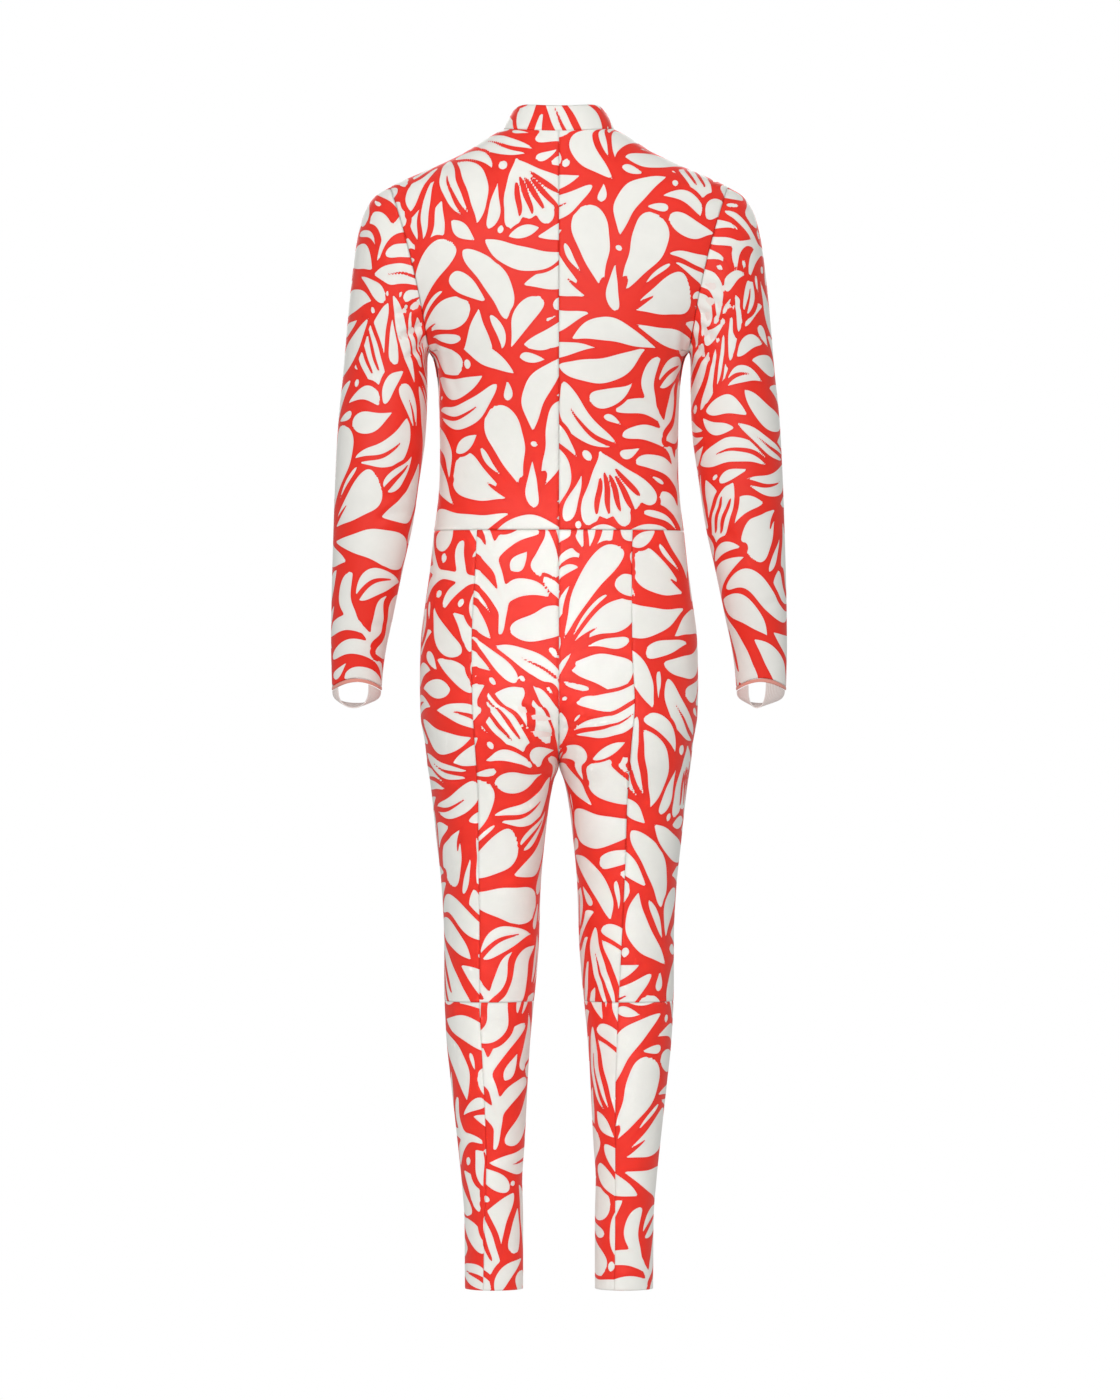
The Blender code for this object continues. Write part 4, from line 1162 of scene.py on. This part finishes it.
def knit_surface(tree, surface, place, seam, strength):
    """Fine ribs, a faint cloudiness and the pull of the sewing, as bump."""
    ribs = node(tree, "ShaderNodeTexWave", [("Vector", place)], wave_type="BANDS",
                bands_direction="X", wave_profile="SIN", Scale=BAND_SPACING / (KNIT_PITCH * MM),
                Distortion=0.4, Detail=1.0)
    rows = node(tree, "ShaderNodeTexWave", [("Vector", place)], wave_type="BANDS",
                bands_direction="Y", wave_profile="SIN", Scale=BAND_SPACING / (KNIT_PITCH * MM * 0.8),
                Distortion=0.3, Detail=1.0)
    loops = node(tree, "ShaderNodeMath", [(0, ribs.outputs["Fac"]), (1, rows.outputs["Fac"])],
                 operation="MULTIPLY")
    clouds = node(tree, "ShaderNodeTexNoise", [("Vector", place)], Scale=38.0, Detail=3.0,
                  Roughness=0.55)
    fine = node(tree, "ShaderNodeBump", [("Height", loops.outputs[0])], Strength=strength,
                Distance=0.12 * MM)
    soft = node(tree, "ShaderNodeBump", [("Height", clouds.outputs["Fac"]),
                                         ("Normal", fine.outputs["Normal"])],
                Strength=0.35, Distance=1.4 * MM)
    last = soft
    if seam is not None:
        pull = node(tree, "ShaderNodeMapRange", [("Value", seam)], interpolation_type="SMOOTHSTEP",
                    From__Min=0.0, From__Max=1.6)
        last = node(tree, "ShaderNodeBump", [("Height", pull.outputs["Result"]),
                                             ("Normal", soft.outputs["Normal"])],
                    Strength=0.6, Distance=0.35 * MM)
    tree.links.new(last.outputs["Normal"], surface.inputs["Normal"])
    return clouds


def printed_knit():
    # Polyamide and elastane tricot, sublimation printed: flat matt colour with a faint satin
    # sheen where it turns away, off-white ground and red ink with a slightly darker edge.
    material, tree, surface = new_material(
        "printed_polyamide_tricot", Roughness=0.5, IOR=1.5, Sheen__Weight=0.02,
        Sheen__Roughness=0.4, Specular__IOR__Level=0.32)
    ink = node(tree, "ShaderNodeAttribute", attribute_name="ink")
    fabric = node(tree, "ShaderNodeAttribute", attribute_name="fabric")
    seam = node(tree, "ShaderNodeAttribute", attribute_name="seam")
    clouds = knit_surface(tree, surface, fabric.outputs["Vector"], seam.outputs["Fac"], 0.35)
    scaled = node(tree, "ShaderNodeMapRange", [("Value", ink.outputs["Fac"])], From__Min=-4.0,
                  From__Max=4.0)
    colours = node(tree, "ShaderNodeValToRGB", [("Fac", scaled.outputs["Result"])], stops=[
        (0.0, "#F0EFE9"),
        (0.49, "#F0EAE4"),
        (0.51, "#DF231A"),
        (0.58, "#F0291C"),
        (1.0, "#F22E1E"),
    ])
    worn = node(tree, "ShaderNodeMapRange", [("Value", clouds.outputs["Fac"])], From__Min=0.3,
                From__Max=0.7, To__Min=0.965, To__Max=1.0)
    # Painted shade: the colour falls to 96 % within 1.2 mm of a seam, where the sewn edges roll in.
    shade = node(tree, "ShaderNodeMapRange", [("Value", seam.outputs["Fac"])],
                 interpolation_type="SMOOTHSTEP", From__Min=0.0, From__Max=1.2, To__Min=0.96)
    both = node(tree, "ShaderNodeMath", [(0, worn.outputs["Result"]), (1, shade.outputs["Result"])],
                operation="MULTIPLY")
    tinted = node(tree, "ShaderNodeVectorMath", [(0, colours.outputs["Color"])], operation="SCALE")
    tree.links.new(both.outputs[0], tinted.inputs["Scale"])
    tree.links.new(tinted.outputs[0], surface.inputs["Base Color"])
    return material


def knit_reverse():
    # The unprinted reverse of the same tricot: off-white loops, warmed by the ink behind them.
    material, tree, surface = new_material(
        "tricot_reverse", Base__Color=linear("#EFE2DC"), Roughness=0.8, Sheen__Weight=0.15)
    fabric = node(tree, "ShaderNodeTexCoord").outputs["Object"]
    clouds = knit_surface(tree, surface, fabric, None, 0.4)
    patterned(tree, surface, clouds, [(0.3, "#EBD9D2"), (0.7, "#F1E8E3")])
    return material


def elastic(name, hollow_shade, light, pitch, use_fabric):
    # Covered rubber elastic: soft matt yarn in close ribs, with painted shade making the hollows
    # between them a little darker.
    material, tree, surface = new_material(
        name, Base__Color=linear(light), Roughness=0.78, Sheen__Weight=0.2)
    if use_fabric:
        place = node(tree, "ShaderNodeAttribute", attribute_name="fabric").outputs["Vector"]
        way = "Y"
    else:
        place = node(tree, "ShaderNodeTexCoord").outputs["Object"]
        way = "Z"
    ribs = node(tree, "ShaderNodeTexWave", [("Vector", place)], wave_type="BANDS",
                bands_direction=way, wave_profile="SIN", Scale=BAND_SPACING / (pitch * MM),
                Distortion=0.6)
    grain = node(tree, "ShaderNodeTexNoise", [("Vector", place)], Scale=900.0, Detail=2.0)
    tall = node(tree, "ShaderNodeBump", [("Height", ribs.outputs["Fac"])], Strength=0.7,
                Distance=0.25 * MM)
    last = node(tree, "ShaderNodeBump", [("Height", grain.outputs["Fac"]),
                                         ("Normal", tall.outputs["Normal"])],
                Strength=0.3, Distance=0.2 * MM)
    tree.links.new(last.outputs["Normal"], surface.inputs["Normal"])
    # Painted shade: the low places of the ribs take the darker colour.
    patterned(tree, surface, ribs, [(0.0, hollow_shade), (0.6, light)])
    return material


def zip_weave():
    # Woven polyester tape: red, matt, with a fine twill that shows as slanting lines, raised as bump
    # and darkened in its grooves by painted shade.
    material, tree, surface = new_material(
        "woven_polyester_tape", Base__Color=linear("#C92B20"), Roughness=0.75)
    place = node(tree, "ShaderNodeTexCoord").outputs["Object"]
    twill = node(tree, "ShaderNodeTexWave", [("Vector", place)], wave_type="BANDS",
                 bands_direction="DIAGONAL", Scale=BAND_SPACING / (0.9 * MM), Distortion=0.5)
    # Painted shade: the grooves of the twill take the darker red.
    patterned(tree, surface, twill, [(0.0, "#B3241B"), (0.7, "#D6342A")], 0.6, 0.15)
    return material


def nylon_coil():
    # Dyed nylon monofilament: smooth and glossier than the tape, slightly darker in its turns.
    material, tree, surface = new_material(
        "nylon_coil", Base__Color=linear("#C9281E"), Roughness=0.35, IOR=1.53)
    place = node(tree, "ShaderNodeTexCoord").outputs["Object"]
    grain = node(tree, "ShaderNodeTexNoise", [("Vector", place)], Scale=700.0, Detail=2.0)
    patterned(tree, surface, grain, [(0.3, "#B7231A"), (0.7, "#D73A2E")], 0.2, 0.1)
    return material


def plated_metal():
    # Zinc casting, nickel plated and tumbled: satin grey with soft highlights and rubbed edges.
    material, tree, surface = new_material(
        "satin_nickel_plate", Base__Color=linear("#C4C4C2"), Metallic=1.0, Roughness=0.3)
    place = node(tree, "ShaderNodeTexCoord").outputs["Object"]
    grain = node(tree, "ShaderNodeTexNoise", [("Vector", place)], Scale=1400.0, Detail=3.0)
    rough = node(tree, "ShaderNodeMapRange", [("Value", grain.outputs["Fac"])], To__Min=0.22,
                 To__Max=0.40)
    tree.links.new(rough.outputs["Result"], surface.inputs["Roughness"])
    patterned(tree, surface, grain, [(0.3, "#B9B9B8"), (0.7, "#CFCFCC")], 0.15, 0.05)
    return material


PRINTED_KNIT = printed_knit()
KNIT_REVERSE = knit_reverse()
ELASTIC_EDGE = elastic("elastic_edge_binding", "#D98677", "#F0A596", 1.0, False)
ELASTIC_STRAP = elastic("elastic_strap", "#DCC9C2", "#F3E8E3", 1.3, True)
ZIP_TAPE = zip_weave()
ZIP_COIL = nylon_coil()
NICKEL = plated_metal()


# ---------------------------------------------------------------- build

ITEMS = motifs()
BACK_LEFT = bodice(1, 1)
BACK_RIGHT = mirrored(bodice(2, 1))
FRONT_LEFT = bodice(1, 2)
FRONT_RIGHT = mirrored(bodice(2, 2))
NECK_COUNT = round(BODICE_ACROSS * NECK_SHARE)
NECK = np.concatenate([FRONT_RIGHT[0][:NECK_COUNT + 1], BACK_RIGHT[0][-NECK_COUNT - 1:][1:],
                       BACK_LEFT[0][1:NECK_COUNT + 1], FRONT_LEFT[0][-NECK_COUNT - 1:][1:]])
COLLAR_POINTS = collar(NECK)
SLEEVE_POINTS = sleeve()

PANELS = {
    "collar": COLLAR_POINTS,
    "back_bodice_left": BACK_LEFT,
    "back_bodice_right": BACK_RIGHT,
    "front_bodice_left": FRONT_LEFT,
    "front_bodice_right": FRONT_RIGHT,
    "sleeve_left": SLEEVE_POINTS,
    "sleeve_right": mirrored(SLEEVE_POINTS),
}
CUTS = ((0, PRINCESS_ACROSS), (PRINCESS_ACROSS, BODICE_ACROSS), (BODICE_ACROSS, 2 * BODICE_ACROSS))
for side, word in ((1, "left"), (2, "right")):
    for labels, top, bottom, down in (
            (("seat", "side_leg", "front_leg"), WAIST, KNEE, LEG_DOWN),
            (("calf", "lower_side", "shin"), KNEE, HEM, CALF_DOWN)):
        ring = leg(np.linspace(top, bottom, down + 1), side)
        for label, (start, stop) in zip(labels, CUTS):
            cut = ring[:, start:stop + 1]
            PANELS[f"{label}_{word}"] = mirrored(cut) if word == "right" else cut

for panel, points in PANELS.items():
    knit_piece(panel, points, ITEMS)

CUFF = SLEEVE_POINTS[-1][:-1]
for word in ("left", "right"):
    edge_binding("cuff_binding_" + word, CUFF, word == "right")
    hand_loop(word, CUFF)
zip_tape()
zip_coil()
for metal in ("zip_slider", "zip_pull"):
    for slot in bpy.data.objects[metal].material_slots:
        slot.material = NICKEL


# ---------------------------------------------------------------- studio

def studio():
    # Painted plywood floor: plain, matt, near white.
    material, tree, surface = new_material(
        "painted_plywood_floor", Base__Color=linear("#FFFFFF"), Roughness=0.9)
    place = node(tree, "ShaderNodeTexCoord").outputs["Object"]
    grain = node(tree, "ShaderNodeTexNoise", [("Vector", place)], Scale=3.0)
    patterned(tree, surface, grain, [(0.3, "#FDFDFD"), (0.7, "#FFFFFF")])
    mesh = bmesh.new()
    bmesh.ops.create_circle(mesh, cap_ends=True, segments=96, radius=FLOOR_RADIUS)
    bmesh.ops.translate(mesh, verts=mesh.verts, vec=(0, 0, FLOOR_LEVEL))
    floor = as_object("floor", mesh, material)

    def lamp(name, place, aim, size, power, spread=180):
        light = bpy.data.lights.new(name, "AREA")
        light.shape = "RECTANGLE"
        light.size, light.size_y = size
        light.energy = power
        light.spread = math.radians(spread)
        made = bpy.data.objects.new(name, light)
        made.location = place
        made.rotation_euler = (Vector(aim) - Vector(place)).to_track_quat("-Z", "Y").to_euler()
        bpy.context.scene.collection.objects.link(made)

    lamp("softbox_back_left", (1.6, 4.1, 0.8), (0, 0, -0.4), (1.6, 1.8), 57.5)
    lamp("softbox_back_right", (-1.0, 4.4, 0.8), (0, 0, -0.4), (1.6, 1.8), 48.5)
    lamp("gridded_strip", (0, 4.3, 0), (0, 0, -0.82), (0.12, 0.9), 0.13, 6)
    lamp("shoulder_light", (0, 1.8, 1.9), (0, 0, 0), (0.9, 0.3), 0.10, 12)
    lamp("softbox_front_left", (1.1, -4.4, 0.8), (0, 0, -0.4), (1.6, 1.8), 50)
    lamp("softbox_front_right", (-1.0, -4.2, 0.9), (0, 0, -0.4), (1.6, 1.8), 52)
    # The air lights softly; where the camera looks past the suit it is the white of the paper.
    world = bpy.data.worlds.new("studio_air")
    bpy.context.scene.world = world
    world.use_nodes = True
    air = world.node_tree.nodes["Background"]
    air.inputs["Color"].default_value = linear("#FFFFFF")
    air.inputs["Strength"].default_value = AIR_STRENGTH
    tree = world.node_tree
    paper = node(tree, "ShaderNodeBackground", Color=linear("#FFFFFF"), Strength=1.0)
    seen = node(tree, "ShaderNodeLightPath")
    both = node(tree, "ShaderNodeMixShader", [
        (0, seen.outputs["Is Camera Ray"]), (1, air.outputs[0]), (2, paper.outputs[0])])
    tree.links.new(both.outputs[0], tree.nodes["World Output"].inputs["Surface"])
    camera = bpy.data.cameras.new("camera")
    camera.sensor_fit = "VERTICAL"
    camera.sensor_height = SENSOR_HEIGHT
    camera.lens = SENSOR_HEIGHT * (CAMERA_PLACE[1] - WIDEST_PLANE) / VIEW_HEIGHT
    camera.clip_end = 60
    holder = bpy.data.objects.new("camera", camera)
    holder.location = CAMERA_PLACE
    holder.rotation_euler = (math.pi / 2, 0, math.pi)
    bpy.context.scene.collection.objects.link(holder)
    bpy.context.scene.camera = holder
    bpy.context.scene.view_settings.view_transform = "Standard"


studio()
